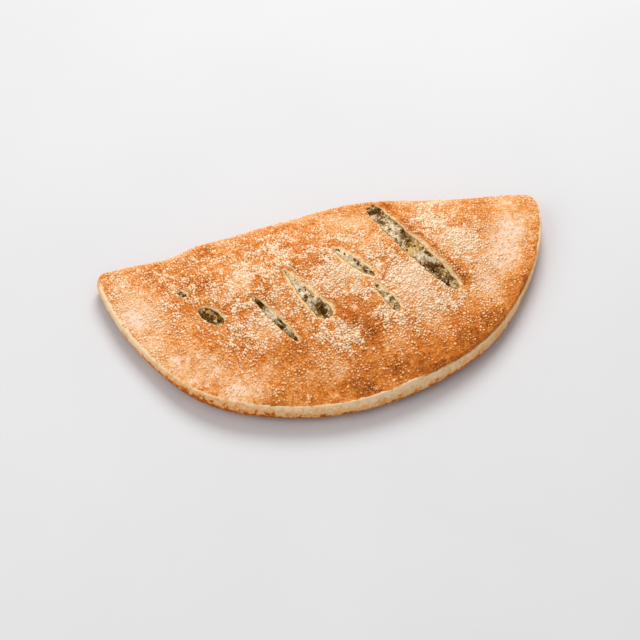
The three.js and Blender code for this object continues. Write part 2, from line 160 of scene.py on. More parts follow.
# lean turns a slit from the common direction and bow bends its middle aside. ends: 0.5
# gives a round end and 1 a sharp one, first for the end by the fold. sink: how deep the
# filling lies. rim: how high the right-hand rim stands. lip: how wide the pale torn rim
# is at the end by the fold and at the other end, and its share on the left-hand side.
# streak: how brown the crust is outside it. dark, curd and stain are stretches of the
# filling's colour, each as the distance along the slit from its middle, the distance
# aside and the half length.
SLITS = {
    "pinhole": dict(
        x=-77.6, y=-35.9, length=7, width=2.5, taper=0.1, lean=1, bow=0, ends=(0.4, 0.55),
        sink=0.5, rim=0.1, lip=(1.3, 1.3, 0.4), streak=0.12,
        dark=((-1.6, -0.5, 1.0), (1.7, -0.5, 1.0)),
        curd=(),
        stain=(),
    ),
    "teardrop": dict(
        x=-65.8, y=-56.4, length=16.9, width=6.6, taper=0.25, lean=8, bow=0.3, ends=(0.38, 0.6),
        sink=0.55, rim=0.3, lip=(1.1, 1.1, 0.4), streak=0.12,
        dark=((-4.8, 0.0, 4.2), (1.5, -2.2, 3.0), (4.6, 1.0, 3.2), (-0.5, 1.8, 2.6)),
        curd=((8.0, -0.6, 0.9), (7.4, -1.4, 0.7)),
        stain=((-3.0, 0.6, 1.8), (2.6, 0.8, 1.6)),
    ),
    "narrow": dict(
        x=-34.9, y=-69, length=35, width=3.3, taper=0.15, lean=1, bow=-0.2, ends=(0.35, 0.45),
        sink=0.35, rim=0.5, lip=(1.2, 1.2, 0.4), streak=0.2,
        dark=((-12.6, 0.2, 2.6), (-8.9, -0.1, 1.5), (5.0, 0.0, 2.6), (12.8, -0.3, 1.4),
              (16.0, -0.4, 1.0)),
        curd=((-3.5, 0.3, 2.4), (-0.5, 0.1, 1.5), (9.0, -0.2, 1.3)),
        stain=((-15.9, 0.2, 0.9),),
    ),
    "spoon": dict(
        x=-16.3, y=-59.6, length=35.6, width=6.9, taper=0.72, lean=0, bow=-1.2, ends=(0.35, 0.32),
        sink=0.2, rim=0.45, lip=(2.6, 2.1, 0.9), streak=0.2,
        dark=((8.6, 1.4, 1.8), (14.0, -0.2, 2.7), (11.0, -1.0, 1.4), (1.7, 0.2, 0.7),
              (11.0, 3.6, 1.0)),
        curd=((-10.8, 0.1, 4.0), (-4.5, 0.0, 3.6), (0.2, 0.1, 2.2), (4.2, -1.4, 1.8),
              (5.4, 2.0, 1.2)),
        stain=((14.6, -3.3, 1.3),),
    ),
    "shallow": dict(
        x=10.8, y=-46.4, length=26, width=4.7, taper=0.2, lean=13, bow=-0.5, ends=(0.75, 0.75),
        sink=0.0, rim=0.3, lip=(2.2, 2.0, 0.9), streak=0.22,
        dark=((1.0, 1.8, 1.0), (7.3, 0.6, 1.1), (11.0, 0.3, 0.7)),
        curd=((-9.8, 0.4, 3.0), (-5.0, 0.0, 2.8), (0.0, -0.8, 2.4), (4.0, 0.3, 1.6),
              (10.5, -1.4, 1.0)),
        stain=((5.4, 0.1, 0.9), (-4.6, -2.0, 0.8)),
    ),
    "short": dict(
        x=23.0, y=-69.4, length=19.4, width=4.6, taper=0.35, lean=-2, bow=0, ends=(0.65, 0.65),
        sink=0.05, rim=0.1, lip=(1.9, 2.2, 0.7), streak=0.0,
        dark=((-8.2, 0.4, 1.1), (-1.4, 0.3, 1.0), (3.2, 1.3, 1.1), (7.0, 0.3, 1.4)),
        curd=((1.6, 0.2, 1.6), (-4.8, 0.3, 1.3), (5.0, 0.0, 1.0)),
        stain=((-2.1, -0.6, 1.5), (5.1, -1.1, 1.2)),
    ),
    "long": dict(
        x=44.5, y=-37.2, length=67.2, width=9.5, taper=0.04, lean=-0.3, bow=-3.9,
        ends=(0.18, 0.32), sink=0.5, rim=0.4, lip=(1.2, 2.6, 0.4), streak=0.28,
        dark=((-28.9, 0.8, 4.2), (-23.4, 0.6, 2.0), (-1.6, 3.8, 1.9), (-4.7, 0.4, 1.0),
              (-0.5, -0.5, 1.1), (11.3, 4.2, 2.1), (17.3, -0.8, 3.1), (14.6, -2.9, 1.8),
              (22.1, -0.3, 2.7), (20.4, 4.4, 1.4), (28.0, 2.2, 1.4), (28.8, -2.6, 1.7),
              (-7.5, 3.6, 1.7), (-14.0, 4.0, 1.2)),
        curd=((-14.4, -0.8, 3.2), (-9.9, 1.6, 1.5), (-7.3, -1.9, 3.0), (-26.2, -4.0, 2.4),
              (9.6, -1.0, 3.2), (16.0, 3.3, 1.8), (13.6, 1.0, 1.5)),
        stain=((3.8, 0.8, 3.6), (4.4, -3.0, 2.4), (24.7, 1.0, 2.0), (32.0, -0.4, 1.6)),
    ),
}
# The raised ridge beside one slit, and how far it runs past the slit's ends.
RIDGE_SLIT = "long"
RIDGE = (8.2, 4.0, 1.8)
RIDGE_PAST = 4
RIDGE_FADE = 14
# Heights above the skin of the cutter for a slit, and how much wider it is than the slit.
CUTTER_LEVELS = (
    (2.5, 1.3), (0.5, 0.6), (0.0, 0.35), (-0.4, 0.12), (-0.9, 0.0), (-2.2, 0.0), (-4.0, -0.1),
    (-8.0, -0.2), (-SLIT_DEPTH, -0.3),
)
LEAST_STEPS = 14
CUTTER_DENSITY = 1.3
CUTTER_BLUNT = 0.995
CUTTER_LEAST = 0.15

# ---- the filling in a slit: plug, relief and colour
PLUG_DENSITY = 1.6
SHELL_DENSITY = 1.4
LEAST_SHELLS = 4
PLUG_GAP = 0.12
PLUG_LEAST = 0.1
PLUG_CORE = 0.25
PLUG_SHOULDER = 3
PLUG_LEAST_DEPTH = 4
PLUG_DEPTH = SLIT_DEPTH - 1.5
SINK_SHARE = 0.5
STRETCH_RELIEF = 0.4
EDGE_DIP = 0.12
EDGE_DIP_RUN = 1.2
LEAST_HALF_WIDTH = 0.3
LEAST_REACH = 2.0
FILLING_REACH = 1
FILLING_TONE = 0.4
DARK_TONE = 0.5
CURD_TONE = 0.38
# Painted shade along the filling's edge in each slit: darker where the filling sinks deeper than
# EVEN_SINK, lighter where it lies shallower.
SINK_EDGE_SHADE = 0.3
EVEN_SINK = 0.35
EDGE_SHADE_BELL = (0, 0.5)

# ---- where meal lies, and where the crust is browner or paler: x, y, radius, weight
MEAL_PATCHES = (
    (-2, -86, 7, 2.1), (70, -37, 9, 1.4), (57, -22, 9, 1.2), (-48, -73, 11, 0.9),
    (40, -57, 10, 1.4), (-27, -25, 8, 0.8), (-46, -39, 6, 0.8), (0, -51, 8, 1.2),
    (10, -32, 3, 1.5), (-12, -58, 6, 1.0), (10, -64, 5, 0.6), (20, -80, 8, 1.0),
    (26, -60, 7, 0.6), (52, -74, 8, 0.8), (-52, -53, 6, 0.5), (33, -84, 7, 0.7),
    (-21, -64, 5, 0.6), (65, -6, 6, 0.4), (-14, -84, 6, 0.8), (-36, -58, 7, 0.6),
)
BARE_PATCHES = (
    (-84, -78, 19, 0.9), (-105, -43, 14, 0.85), (98, -34, 16, 1.1), (-57, -103, 12, 0.85),
    (-17, -116, 12, 0.7), (90, -62, 12, 0.6), (41, -109, 13, 0.6), (104, -14, 12, 0.6),
    (5, -77, 4, 0.8), (16, -86, 5, 0.7), (-66, -32, 5, 0.6),
)
BROWN_PATCHES = (
    (-26, -87, 6, 0.9), (12, -87, 8, 1.3), (3, -78, 6, 0.9), (65, -61, 6, 1.0),
    (-60, -12, 5, 0.8), (-8, -44, 5, 0.3), (75, -84, 9, 0.25), (91, -67, 9, 0.3),
    (60, -97, 9, 0.6), (2, -115, 9, 0.9), (34, -109, 12, 0.5), (-33, -88, 6, 0.8),
    (-48, -89, 6, 0.5), (-79, -45, 7, 0.6), (-94, -18, 7, 0.6), (-77, -19, 6, 0.5),
    (-46, -77, 6, 0.5), (4, -74, 4.5, 0.9), (-68, -35, 7, 0.7), (-72, -70, 7, 0.5),
    (-61, -82, 5, 0.4), (-38, -47, 5, 0.6), (-12, -33, 6, 0.55), (-63, 3, 7, 0.6),
    (81, -31, 5, 0.3), (100, -59, 7, 0.3), (-86, -30, 6, 0.3),
)
PALE_PATCHES = (
    (-87, -77, 14, 0.62), (-103, -39, 12, 1.1), (100, -30, 11, 1.1), (-57, -99, 12, 0.95),
    (89, -48, 11, 1.2), (76, -65, 9, 1.0), (-99, -59, 10, 0.7), (69, -40, 11, 0.75),
    # The patch at (-75, -4) is a painted highlight on a hump by the fold.
    (40, -58, 11, 0.85), (-106, -20, 9, 0.65), (-75, -4, 7, 0.75), (-11, -103, 7, 0.5),
    (101, -12, 9, 0.5), (116, -17, 7, 0.5), (22, -38, 7, 0.5), (38, -72, 10, 0.6),
    (57, -25, 9, 0.5), (9, -53, 11, 0.8), (5, -73, 1.8, 1.7), (-72, -85, 7, 0.7),
    (65, -5, 9, 0.5), (-43, -73, 8, 0.8), (-46, -45, 7, 0.8), (18, -23, 8, 0.5),
    (-14, -59, 7, 1.1), (3, -8, 8, 0.4), (-28, -69, 9, 0.5), (-4, -28, 7, 0.2),
    (48, -6, 7, 0.5), (-90, -46, 8, 0.4), (45, -86, 9, 0.4), (23, -94, 8, 0.4),
    (-12, -4, 8, 0.3), (8, -18, 7, 0.35), (111, -4, 7, 0.35), (-50, -14, 7, 0.3),
    (-76, -55, 6, 0.35), (18, -55, 6, 0.35), (85, -78, 7, 0.25),
)
MEAL_BAND = (-50, 34, 0.42)
MEAL_BAND_SLANT = 0.12
MEAL_EVERYWHERE = 0.15
MEAL_GAIN = 0.85
MEAL_LOSS = 0.85
MOST_MEAL = 1.2
BARE_RIM = (62, 42, 0.75)
BARE_RIM_RUN = (2, 30)
CLUMP_LEAST = 0.26
CLUMP_STEP = (-0.3, 0.38, 1.2)
CLUMP_FILL = 0.7
LIP_CLEAR = (0.6, 1.2, 0.3)
STREAK_BARE = 2.4
STREWN_BARE = 0.93
# The box that draws of places fall in, and how far inside the outline and the fold they stay.
STREWN_X = (-120, 121)
STREWN_Y = (-121, 3)
STREWN_EDGE = 1.2
STREWN_FOLD = 1.5
STREWN_TRIES = 12

# ---- grains: how flat they lie, how uneven they are and how strongly painted shade tints their lower sides
FLATTEN = 0.6
GRAIN_JITTER = 0.28
GRAIN_PAINTED_SHADE = 1.1
# Kinds of meal: name, sides of a grain or 0 for a round one, clearance from the slits,
# least gap, the share that is strewn everywhere, and how much browner the grains are.
MEAL_KINDS = (
    ("coarse", 0, 0.45, 1.0, 0.0, -0.04),
    ("toasted", 6, 0.5, 0.65, 0.3, 0.26),
    ("fine", 4, 0.3, 0.35, 0.2, 0.2),
)
MEAL_COLOURS = dict(pale=0.0, golden=0.6, toasted=1.0)
MEAL_SEED = 7
MEAL_STRETCH = 0.22
MEAL_SPREAD = 0.27
MEAL_SIZES = (0.55, 1.7)
SPARSE_SIZE = 0.74
DENSE_SIZE = 0.36
MEAL_LIFT = 0.06
MEAL_TINT_DRAW = (0.9, 2.4)
MEAL_TINT = -0.35
DRAWN_TINT = 0.4
SPARSE_TINT = 0.9
BROWN_TINT = 0.25
PALE_TINT = 0.4
MEAL_SPECKS = 2500
CRUMB_SPECKS = 1500
# Kinds of crumb: setting for the count, mean radius, stretch, chances to lie on pale and
# on dark filling, and the ramp of its colours.
CRUMB_KINDS = {
    "cheese_curds": ("curds", 0.5, 0.3, (1, 0.1), dict(cheese=0.0, curd=0.6)),
    "chopped_leaves": ("leaves", 0.7, 0.5, (0.3, 1), dict(herb_light=0.0, herb=0.6, char=1.0)),
}
CRUMB_SEED = 11
CRUMB_SIDES = 6
CRUMB_ALONG = 0.47
CRUMB_INSET = 0.5
CRUMB_ROOM = 0.2
CRUMB_SIZES = (0.5, 1.25)
CRUMB_LIFT = 0.05

# ---- seeded noises over the shape: height, size, seed and number of octaves
SEED_SHIFT = np.array([37.7, -37.7, 18.85])
BLISTERS = ((0.42, 11.0, 1, 2), (0.24, 3.6, 2, 2))
SIDE_WAVES = (0.35, 9.0, 5, 2)
FILLING_LUMPS = ((1.0, 2.8, 8, 2), (0.5, 1.0, 9, 2))
CLUMPS = (1.0, 4.5, 12, 3)
FRAYS = ((0.5, 2.4, 17, 2), (0.45, 7.0, 18, 2))
LIP_WAVES = (0.35, 3.0, 21, 2)
TONE_CLOUDS = (0.1, 16.0, 31, 3)

# ---- masks and tones of the crust
OUTER_SKIN = 1.2
LEAST_THICK = 0.5
ROLLED_EDGE = (48, 20)
BAND_START = 0.03
BAND_START_ROLLED = 0.17
BAND_SOFTNESS = 0.07
BAND_BY_FOLD = (3, 14)
BAND_BY_HEIGHT = (3, 6)
# How far the pale side creeps over the top edge, in millimetres: everywhere and on the left.
CREEP = 0.1
CREEP_LEFT = (115, 150, 1.1)
CREEP_DEPTH = 1.5
SPILL_EDGE = (0.4, 1.5, 0.4)
SPILL_END = (0.05, 0.3)
UNDER_STEP = (0.84, 0.97)
UNDER_DEPTH = 2.5
UNDER_LAYER = 1.0
LIP_EDGE = (0.3, 1.3, 0.3)
BURNT_LIP = 0.6
# The walls inside the slits get a darker, browner colour: partly torn crust, partly painted shade.
WALL_DEPTH = 0.8
WALL_REACH = 1.5
# Painted contact shadow with real browning: the side is browner round the left-front and less so by
# the left-hand tip.
TOAST_AND_SHADE_BELL = (129, 17, 0.45)
TOAST_AND_SHADE_FALL = (150, 165, 0.1)
CRUST_TONE = 0.415
BROWN_TONE = 0.26
PALE_TONE = 0.46
RIM_RUN = (2, 26)
RIM_TONE = 0.06
FRONT_RIM = (62, 38, 0.16)
FOLD_RUN = (0, 12)
FOLD_TONE = 0.11
MEAL_TONE = 0.16

# ---- how much each material shines
DOUGH_SHINE = 0.05
FILLING_SHINE = 0.05
GRAIN_SHINE = 0.04
TABLE_SHINE = 0.25

# ---- noises of the materials: scale, detail, roughness and distortion
NOISE_MIDDLE = (0.3, 0.7)
MOTTLE = (85, 4, 0.62, 0.4)
FLECK = (430, 3, 0.65)
SAND = (1000, 2, 0.7)
PATCH = (210, 3, 0.55, 0.9)
SIDE_CLOUD = (260, 4, 0.65, 0.6)
UNDER_CLOUD = (55, 4, 0.65)
BLOTCH = (260, 3, 0.6, 0.9)
FINE = (900, 2, 0.6)
TABLE_CLOUD = (9, 3, 0.5)
# Scattered cells: scale, and how far their edges are bent, in metres.
GRIT = (1050,)
SPECKS = (520,)
LARGE_BITS = (480, 0.003)
SMALL_BITS = (1000, 0.0015)
LEAF_BITS = (760, 0.001)

# ---- the studio, in metres: place, size and colour of each light
KEY_LIGHT = ((0.3, 0.85, 1.05), 0.8, (1.0, 0.99, 0.975))
FILL_LIGHT = ((-0.95, -0.35, 0.9), 1.0, (1.0, 0.99, 0.98))
TABLE_HALF = 4.0
TABLE_TOP = -0.0001
TABLE_SHADE = 0.97
TABLE_ROUGHNESS = 0.7
AIM_POINT = np.array([-8.905, -52.452, 0.0])
SENSOR_WIDTH = 36.0


# ---- small helpers
def linear(red, green, blue):
    """Linear colour of a display colour given from 0 to 255, by the usual sRGB curve."""
    shares = [value / 255 for value in (red, green, blue)]
    return tuple(s / 12.92 if s <= 0.04045 else ((s + 0.055) / 1.055) ** 2.4 for s in shares)


def bell(value, centre, width, height=1.0):
    return height * np.exp(-(((value - centre) / width) ** 2))


def step_up(value, low, high, size=1.0):
    t = np.clip((value - low) / (high - low), 0.0, 1.0)
    return size * t * t * (3 - 2 * t)


def step_down(value, low, high):
    return 1 - step_up(value, low, high)


def soft_edge(value, width, start, end, margin):
    """From 0 to 1 across an edge that starts and ends at shares of a changing width."""
    return step_up(value, start * width, end * width + margin)


def quarter_round(value):
    """Height of a quarter of a circle, from 0 at 0 to 1 at 1 and above."""
    turn = np.clip(value, 0, 1)
    return np.sqrt(1 - (1 - turn) ** 2)


def smooth_min(a, b, blend):
    h = np.clip(0.5 + 0.5 * (b - a) / blend, 0.0, 1.0)
    return b * (1 - h) + a * h - blend * h * (1 - h)


def patches(x, y, spots):
    total = np.zeros_like(x)
    for spot_x, spot_y, radius, weight in spots:
        total += weight * np.exp(-((x - spot_x) ** 2 + (y - spot_y) ** 2) / radius**2)
    return total


def ruffle(x, y, z, *kinds):
    """Smooth noise. Each kind has its height, the size of its features, seed and octaves."""
    total = 0.0
    for height, size, seed, octaves in kinds:
        shift = SEED_SHIFT * seed
        places = np.column_stack([x, y, np.broadcast_to(z, x.shape)]) / size + shift
        values = [noise.fractal(place, 1.0, 2.0, octaves) for place in places.tolist()]
        total = total + height * np.array(values)
    return total


# ---- shape functions
def arc_angle(x, y):
    angle = np.degrees(np.arctan2(-y, x))
    return np.where(angle < -90, 180.0, angle)


def inside_arc(x, y):
    angle = arc_angle(x, y)
    radius = DISC_RADIUS + step_up(angle, *ARC_SWELL)
    for bump in ARC_BUMPS:
        radius = radius + bell(angle, *bump)
    return radius - np.hypot(x, y)


def inside_fold(x, y):
    return FOLD_SET_BACK + bell(x, *FOLD_BOW) - y


def inside_outline(x, y):
    return smooth_min(inside_arc(x, y), inside_fold(x, y), TIP_BLEND)


def inside_pocket(x, y):
    return smooth_min(inside_arc(x, y) - SEAL_WIDTH, inside_fold(x, y) - FOLD_WALL, POCKET_BLEND)


def nose_height(x):
    width = np.where(x < NOSE_SWELL_AT, *NOSE_SWELL_WIDTHS)
    return NOSE_LEFT + step_up(x, *NOSE_RISE) + bell(x, NOSE_SWELL_AT, width, NOSE_SWELL)


def slit_axis(slit):
    """Cosine and sine of the slit's direction."""
    lean = math.radians(SLIT_LEAN + slit["lean"])
    return math.cos(lean), math.sin(lean)


def slit_bow(slit, along):
    return slit["bow"] * np.clip(1 - (2 * along / slit["length"]) ** 2, 0, 1)


def slit_coordinates(slit, x, y):
    cosine, sine = slit_axis(slit)
    dx = x - slit["x"]
    dy = y - slit["y"]
    along = dx * cosine + dy * sine
    return along, dy * cosine - dx * sine - slit_bow(slit, along)


def slit_point(slit, along, aside):
    cosine, sine = slit_axis(slit)
    aside = aside + slit_bow(slit, along)
    return slit["x"] + along * cosine - aside * sine, slit["y"] + along * sine + aside * cosine


def slit_half_width(slit, along):
    u = np.clip(2 * along / slit["length"], -1, 1)
    lens = (1 - u * u) ** np.where(u < 0, *slit["ends"])
    weight = 1 + slit["taper"] * (u - abs(slit["taper"]) * TAPER_EVEN)
    waver = 1 + WAVER * np.sin(along / WAVER_LENGTH + slit["x"])
    waver = waver + RIPPLE * np.sin(along / RIPPLE_LENGTH)
    return 0.5 * slit["width"] * lens * weight * waver


def slit_distance(slit, x, y):
    """Distance outside the slit's edge, negative inside it, and the places along and aside."""
    along, aside = slit_coordinates(slit, x, y)
    beyond = np.maximum(np.abs(along) - slit["length"] / 2, 0)
    beside = np.abs(aside) - slit_half_width(slit, along)
    distance = np.where(beyond > 0, np.hypot(beyond, np.maximum(beside, 0)), beside)
    return distance, along, aside


def beside_slits(x, y):
    """Nearest slit's edge distance, lip width and burnt end there, and the brown streak."""
    rows = []
    streak = np.zeros_like(x)
    for slit in SLITS.values():
        gap, along, aside = slit_distance(slit, x, y)
        half = slit["length"] / 2
        by_fold, far, left = slit["lip"]
        width = by_fold + (far - by_fold) * step_up(along / half, *LIP_CHANGE)
        lip = np.where(aside > 0, width, left * width)
        rows.append((gap, lip, step_down(along / half, *BURNT_END)))
        level_with = step_up(half + STREAK_PAST - np.abs(along), 0, STREAK_FADE)
        outside = np.where(aside > 0, bell(gap, width + STREAK_OUTSIDE, STREAK_WIDTH), 0.0)
        streak = np.maximum(streak, slit["streak"] * level_with * outside)
    rows = np.array(rows)
    nearest = rows[:, 0].argmin(axis=0)
    distance, lip, burnt = rows[nearest, :, np.arange(len(x))].T
    return distance, lip, burnt, streak


def lumps(x, y):
    """Uneven swells, from crossed waves of two lengths that don't repeat over the dough."""
    broad = np.sin(x / 17 + 1.3 * np.sin(y / 23)) * np.sin(y / 15 + 0.8 * np.sin(x / 21 + 1))
    fine = np.sin(x / 8.5 + y / 13) * np.sin(y / 9.5 - x / 17 + 2)
    return BROAD_LUMP * broad + FINE_LUMP * fine


def ridge(x, y):
    slit = SLITS[RIDGE_SLIT]
    along, aside = slit_coordinates(slit, x, y)
    reach = step_up(slit["length"] / 2 + RIDGE_PAST - np.abs(along), 0, RIDGE_FADE)
    return reach * bell(aside, *RIDGE)


def top_height(x, y):
    from_arc = np.maximum(inside_arc(x, y), 0)
    from_fold = np.maximum(inside_fold(x, y), 0)
    edge = EDGE_HEIGHT + bell(arc_angle(x, y), *EDGE_SWELL) - step_up(-x, *EDGE_FALL_LEFT)
    peak = DOME_HEIGHT - step_up(-x, *DOME_FALL_LEFT) - step_up(x, *DOME_FALL_RIGHT)
    dome = edge + (peak - edge) * np.sin(np.pi / 2 * np.clip(from_arc / DOME_RUN, 0, 1))
    radius = nose_height(x) / 2
    nose = radius * (1 + quarter_round(from_fold / radius))
    nose = nose + NOSE_SLOPE * np.maximum(from_fold - radius, 0)
    fade = np.clip(inside_outline(x, y) / LUMP_FADE, 0, 1)
    return smooth_min(dome, nose, SKIN_BLEND) + fade * (lumps(x, y) + ridge(x, y))


def base_height(x, y):
    curl = EDGE_CURL * np.clip(1 - np.maximum(inside_arc(x, y), 0) / CURL_RUN, 0, 1) ** 2
    nose = nose_height(x)
    roll = ROLL_HEIGHT * nose * (1 - quarter_round(inside_fold(x, y) / (ROLL_RUN * nose)))
    return np.minimum(np.maximum(curl, roll), top_height(x, y) - LEAST_EDGE)


def lip_relief(x, y):
    """Raised rims beside the slits, higher on the right-hand side."""
    total = np.zeros_like(x)
    for slit in SLITS.values():
        distance, _, aside = slit_distance(slit, x, y)
        near = np.abs(distance - RIM_MIDDLE) < RIM_REACH
        rise = slit["rim"] * np.where(aside > 0, 1.0, RIM_LEFT) * bell(distance, *RIM_BELL)
        drop = RIM_DROP * np.exp(-np.maximum(distance, 0) / RIM_DROP_RUN)
        total += np.where(near, rise - drop, 0)
    return total


def skin_height(x, y):
    """The crust's top surface with its blisters and slit rims."""
    fade = np.clip(inside_outline(x, y) / BLISTER_FADE, LEAST_BLISTER, 1)
    return top_height(x, y) + fade * ruffle(x, y, 0.0, *BLISTERS) + lip_relief(x, y)


def pocket_heights(x, y, shrink):
    """Ceiling and floor of the pocket, drawn in by that much."""
    roof = top_height(x, y) - TOP_WALL
    rounding = quarter_round((inside_pocket(x, y) - shrink) / POCKET_ROUND)
    half = np.maximum(((roof - BASE_WALL) / 2 - shrink) * rounding, 0)
    middle = (roof + BASE_WALL) / 2
    return middle + half, middle - half


# ---- meshes
class Outline:
    """The zero line of a function that is positive inside, walked by arc length."""

    farthest = 200.0
    halvings = 40

    def __init__(self, inside, samples=3600):
        angle = np.linspace(0, 2 * np.pi, samples, endpoint=False)
        hub = HUB[:, None]
        away = np.array([np.cos(angle), np.sin(angle)])
        low = np.zeros(samples)
        high = np.full(samples, self.farthest)
        for _ in range(self.halvings):
            middle = (low + high) / 2
            is_in = inside(*(hub + middle * away)) > 0
            low = np.where(is_in, middle, low)
            high = np.where(is_in, high, middle)
        line = hub + low * away
        self.line = np.append(line, line[:, :1], axis=1)
        self.walked = np.concatenate([[0], np.cumsum(np.hypot(*np.diff(self.line)))])

    def ring(self, around, share):
        """Even places on the outline drawn in to that share, fewer when it is smaller."""
        count = max(LEAST_RING, round(around * share))
        wanted = np.arange(count) * self.walked[-1] / count
        x, y = (np.interp(wanted, self.walked, line) for line in self.line)
        return HUB[0] + (x - HUB[0]) * share, HUB[1] + (y - HUB[1]) * share


class RingSkin:
    """Closed skin of nested rings with different counts, zipped together."""

    def __init__(self):
        self.rings = []
        self.points = []
        self.faces = []
        self.total = 0

    def ring(self, x, y, z):
        self.rings.append((self.total, len(x)))
        self.points.append(np.column_stack([x, y, z]))
        self.total += len(x)

    def zip(self, start_a, count_a, start_b, count_b):
        """Faces between two rings, in the order in which their points come round."""
        steps = [((i + 1) / count_a, True) for i in range(count_a) if count_a > 1]
        steps += [((j + 1) / count_b, False) for j in range(count_b) if count_b > 1]
        i = 0
        j = 0
        for _, on_a in sorted(steps):
            pair = (start_a + i % count_a, start_b + j % count_b)
            if on_a:
                i += 1
                self.faces.append((*pair, start_a + i % count_a))
            else:
                j += 1
                self.faces.append((*pair, start_b + j % count_b))

    def piece(self, name):
        for ring, after in zip(self.rings, self.rings[1:]):
            self.zip(*ring, *after)
        return make_piece(name, np.concatenate(self.points), np.array(self.faces, np.int32))


def make_object(name, mesh):
    piece = bpy.data.objects.new(name, mesh)
    bpy.context.scene.collection.objects.link(piece)
    return piece


def make_piece(name, points, faces, smooth=True):
    """A mesh object from millimetre points in the fold's frame, moved into the row's frame."""
    mesh = bpy.data.meshes.new(name)
    placed = ((points + ROW_SHIFT) * MM).astype(np.float32)
    mesh.from_pydata(placed, [], faces, shade_flat=not smooth)
    mesh.validate()
    return make_object(name, mesh)


def mesh_points(mesh):
    """Vertices of a mesh back in the fold's frame, in millimetres."""
    flat = np.empty(len(mesh.vertices) * 3, np.float32)
    mesh.vertices.foreach_get("co", flat)
    return flat.reshape(-1, 3).astype(float) / MM - ROW_SHIFT


def set_attributes(mesh, **layers):
    for name, values in layers.items():
        layer = mesh.attributes.new(name, "FLOAT", "POINT")
        layer.data.foreach_set("value", np.asarray(values, np.float32))


def combine(piece, others, operation):
    """Joins or cuts the others and removes them."""
    for other in others:
        modifier = piece.modifiers.new("combine", "BOOLEAN")
        modifier.operation = operation
        modifier.solver = "MANIFOLD"
        modifier.object = other
    depsgraph = bpy.context.evaluated_depsgraph_get()
    result = bpy.data.meshes.new_from_object(piece.evaluated_get(depsgraph))
    old = piece.data
    piece.modifiers.clear()
    piece.data = result
    result.name = old.name
    bpy.data.meshes.remove(old)
    for other in others:
        mesh = other.data
        bpy.data.objects.remove(other)
        bpy.data.meshes.remove(mesh)
    if not len(result.vertices):
        raise RuntimeError(f"{piece.name}: nothing is left after {operation}")
    result.polygons.foreach_set("use_smooth", np.ones(len(result.polygons), bool))


# ---- materials
class Nodes:
    """Short calls for building one node material."""

    def __init__(self, name):
        self.material = bpy.data.materials.new(name)
        self.material.use_nodes = True
        self.tree = self.material.node_tree
        self.tree.nodes.clear()
        self.shader = self.node("BsdfPrincipled", {})
        self.node("OutputMaterial", {"Surface": self.shader.outputs[0]})
        self.place = self.node("TexCoord", {}).outputs["Object"]

    def feed(self, value, socket):
        """Links an output to the socket, or sets it to a number, a vector or a colour."""
        if isinstance(value, NodeSocket):
            self.tree.links.new(value, socket)
        elif socket.type == "RGBA":
            socket.default_value = (*value, 1.0)
        else:
            socket.default_value = value

    def node(self, kind, inputs, **options):
        """A new node with its options set and its inputs fed."""
        node = self.tree.nodes.new(f"ShaderNode{kind}")
        for option, value in options.items():
            setattr(node, option, value)
        for name, value in inputs.items():
            self.feed(value, node.inputs[name])
        return node

    def attribute(self, name):
        return self.node("Attribute", {}, attribute_name=name).outputs["Fac"]

    def noise(self, scale, detail, roughness, distortion=0.0):
        inputs = {"Vector": self.place, "Scale": scale, "Detail": detail, "Roughness": roughness}
        return self.node("TexNoise", inputs | {"Distortion": distortion}).outputs["Fac"]

    def cells(self, scale, warp=0.0):
        """Distance and colour of scattered cells, with edges bent by warp, in metres."""
        place = self.place
        if warp:
            cloud = self.node("TexNoise", {"Vector": place, "Scale": scale}).outputs["Color"]
            bend = {0: cloud, 1: (warp, warp, warp), 2: place}
            place = self.node("VectorMath", bend, operation="MULTIPLY_ADD").outputs[0]
        cells = self.node("TexVoronoi", {"Vector": place, "Scale": scale})
        return cells.outputs["Distance"], cells.outputs["Color"]

    def ramp(self, value, look, **stops):
        """A ramp through the settings' colours that are named, each with its position."""
        node = self.node("ValToRGB", {"Fac": value})
        elements = node.color_ramp.elements
        while len(elements) < len(stops):
            elements.new(0.5)
        for element, (name, position) in zip(elements, stops.items()):
            element.position = position
            element.color = (*getattr(look, name), 1.0)
        return node.outputs["Color"]

    def level(self, value, low, high, to_low=0.0, to_high=1.0):
        inputs = {"Value": value, "From Min": low, "From Max": high, "To Min": to_low}
        return self.node("MapRange", inputs | {"To Max": to_high}).outputs["Result"]

    def spread(self, cloud, low, high):
        """The middle part of a noise, spread over that range."""
        return self.level(cloud, *NOISE_MIDDLE, low, high)

    def sway(self, cloud, amount):
        return self.spread(cloud, -amount, amount)

    def math(self, operation, total, *others):
        for other in others:
            total = self.node("Math", {0: total, 1: other}, operation=operation).outputs[0]
        return total

    def add(self, *values):
        return self.math("ADD", *values)

    def times(self, *values):
        return self.math("MULTIPLY", *values)

    def mix(self, factor, a, b):
        return self.node("Mix", {0: factor, 6: a, 7: b}, data_type="RGBA").outputs[2]

    def finish(self, colour, roughness, specular, *bumps):
        """Feeds the shader. Each bump is a height, its strength and a distance in metres."""
        normal = {}
        for height, strength, distance in bumps:
            inputs = {"Height": height, "Strength": strength, "Distance": distance} | normal
            normal = {"Normal": self.node("Bump", inputs).outputs["Normal"]}
        inputs = {"Base Color": colour, "Roughness": roughness, "Specular IOR Level": specular}
        for name, value in (inputs | normal).items():
            self.feed(value, self.shader.inputs[name])
        return self.material


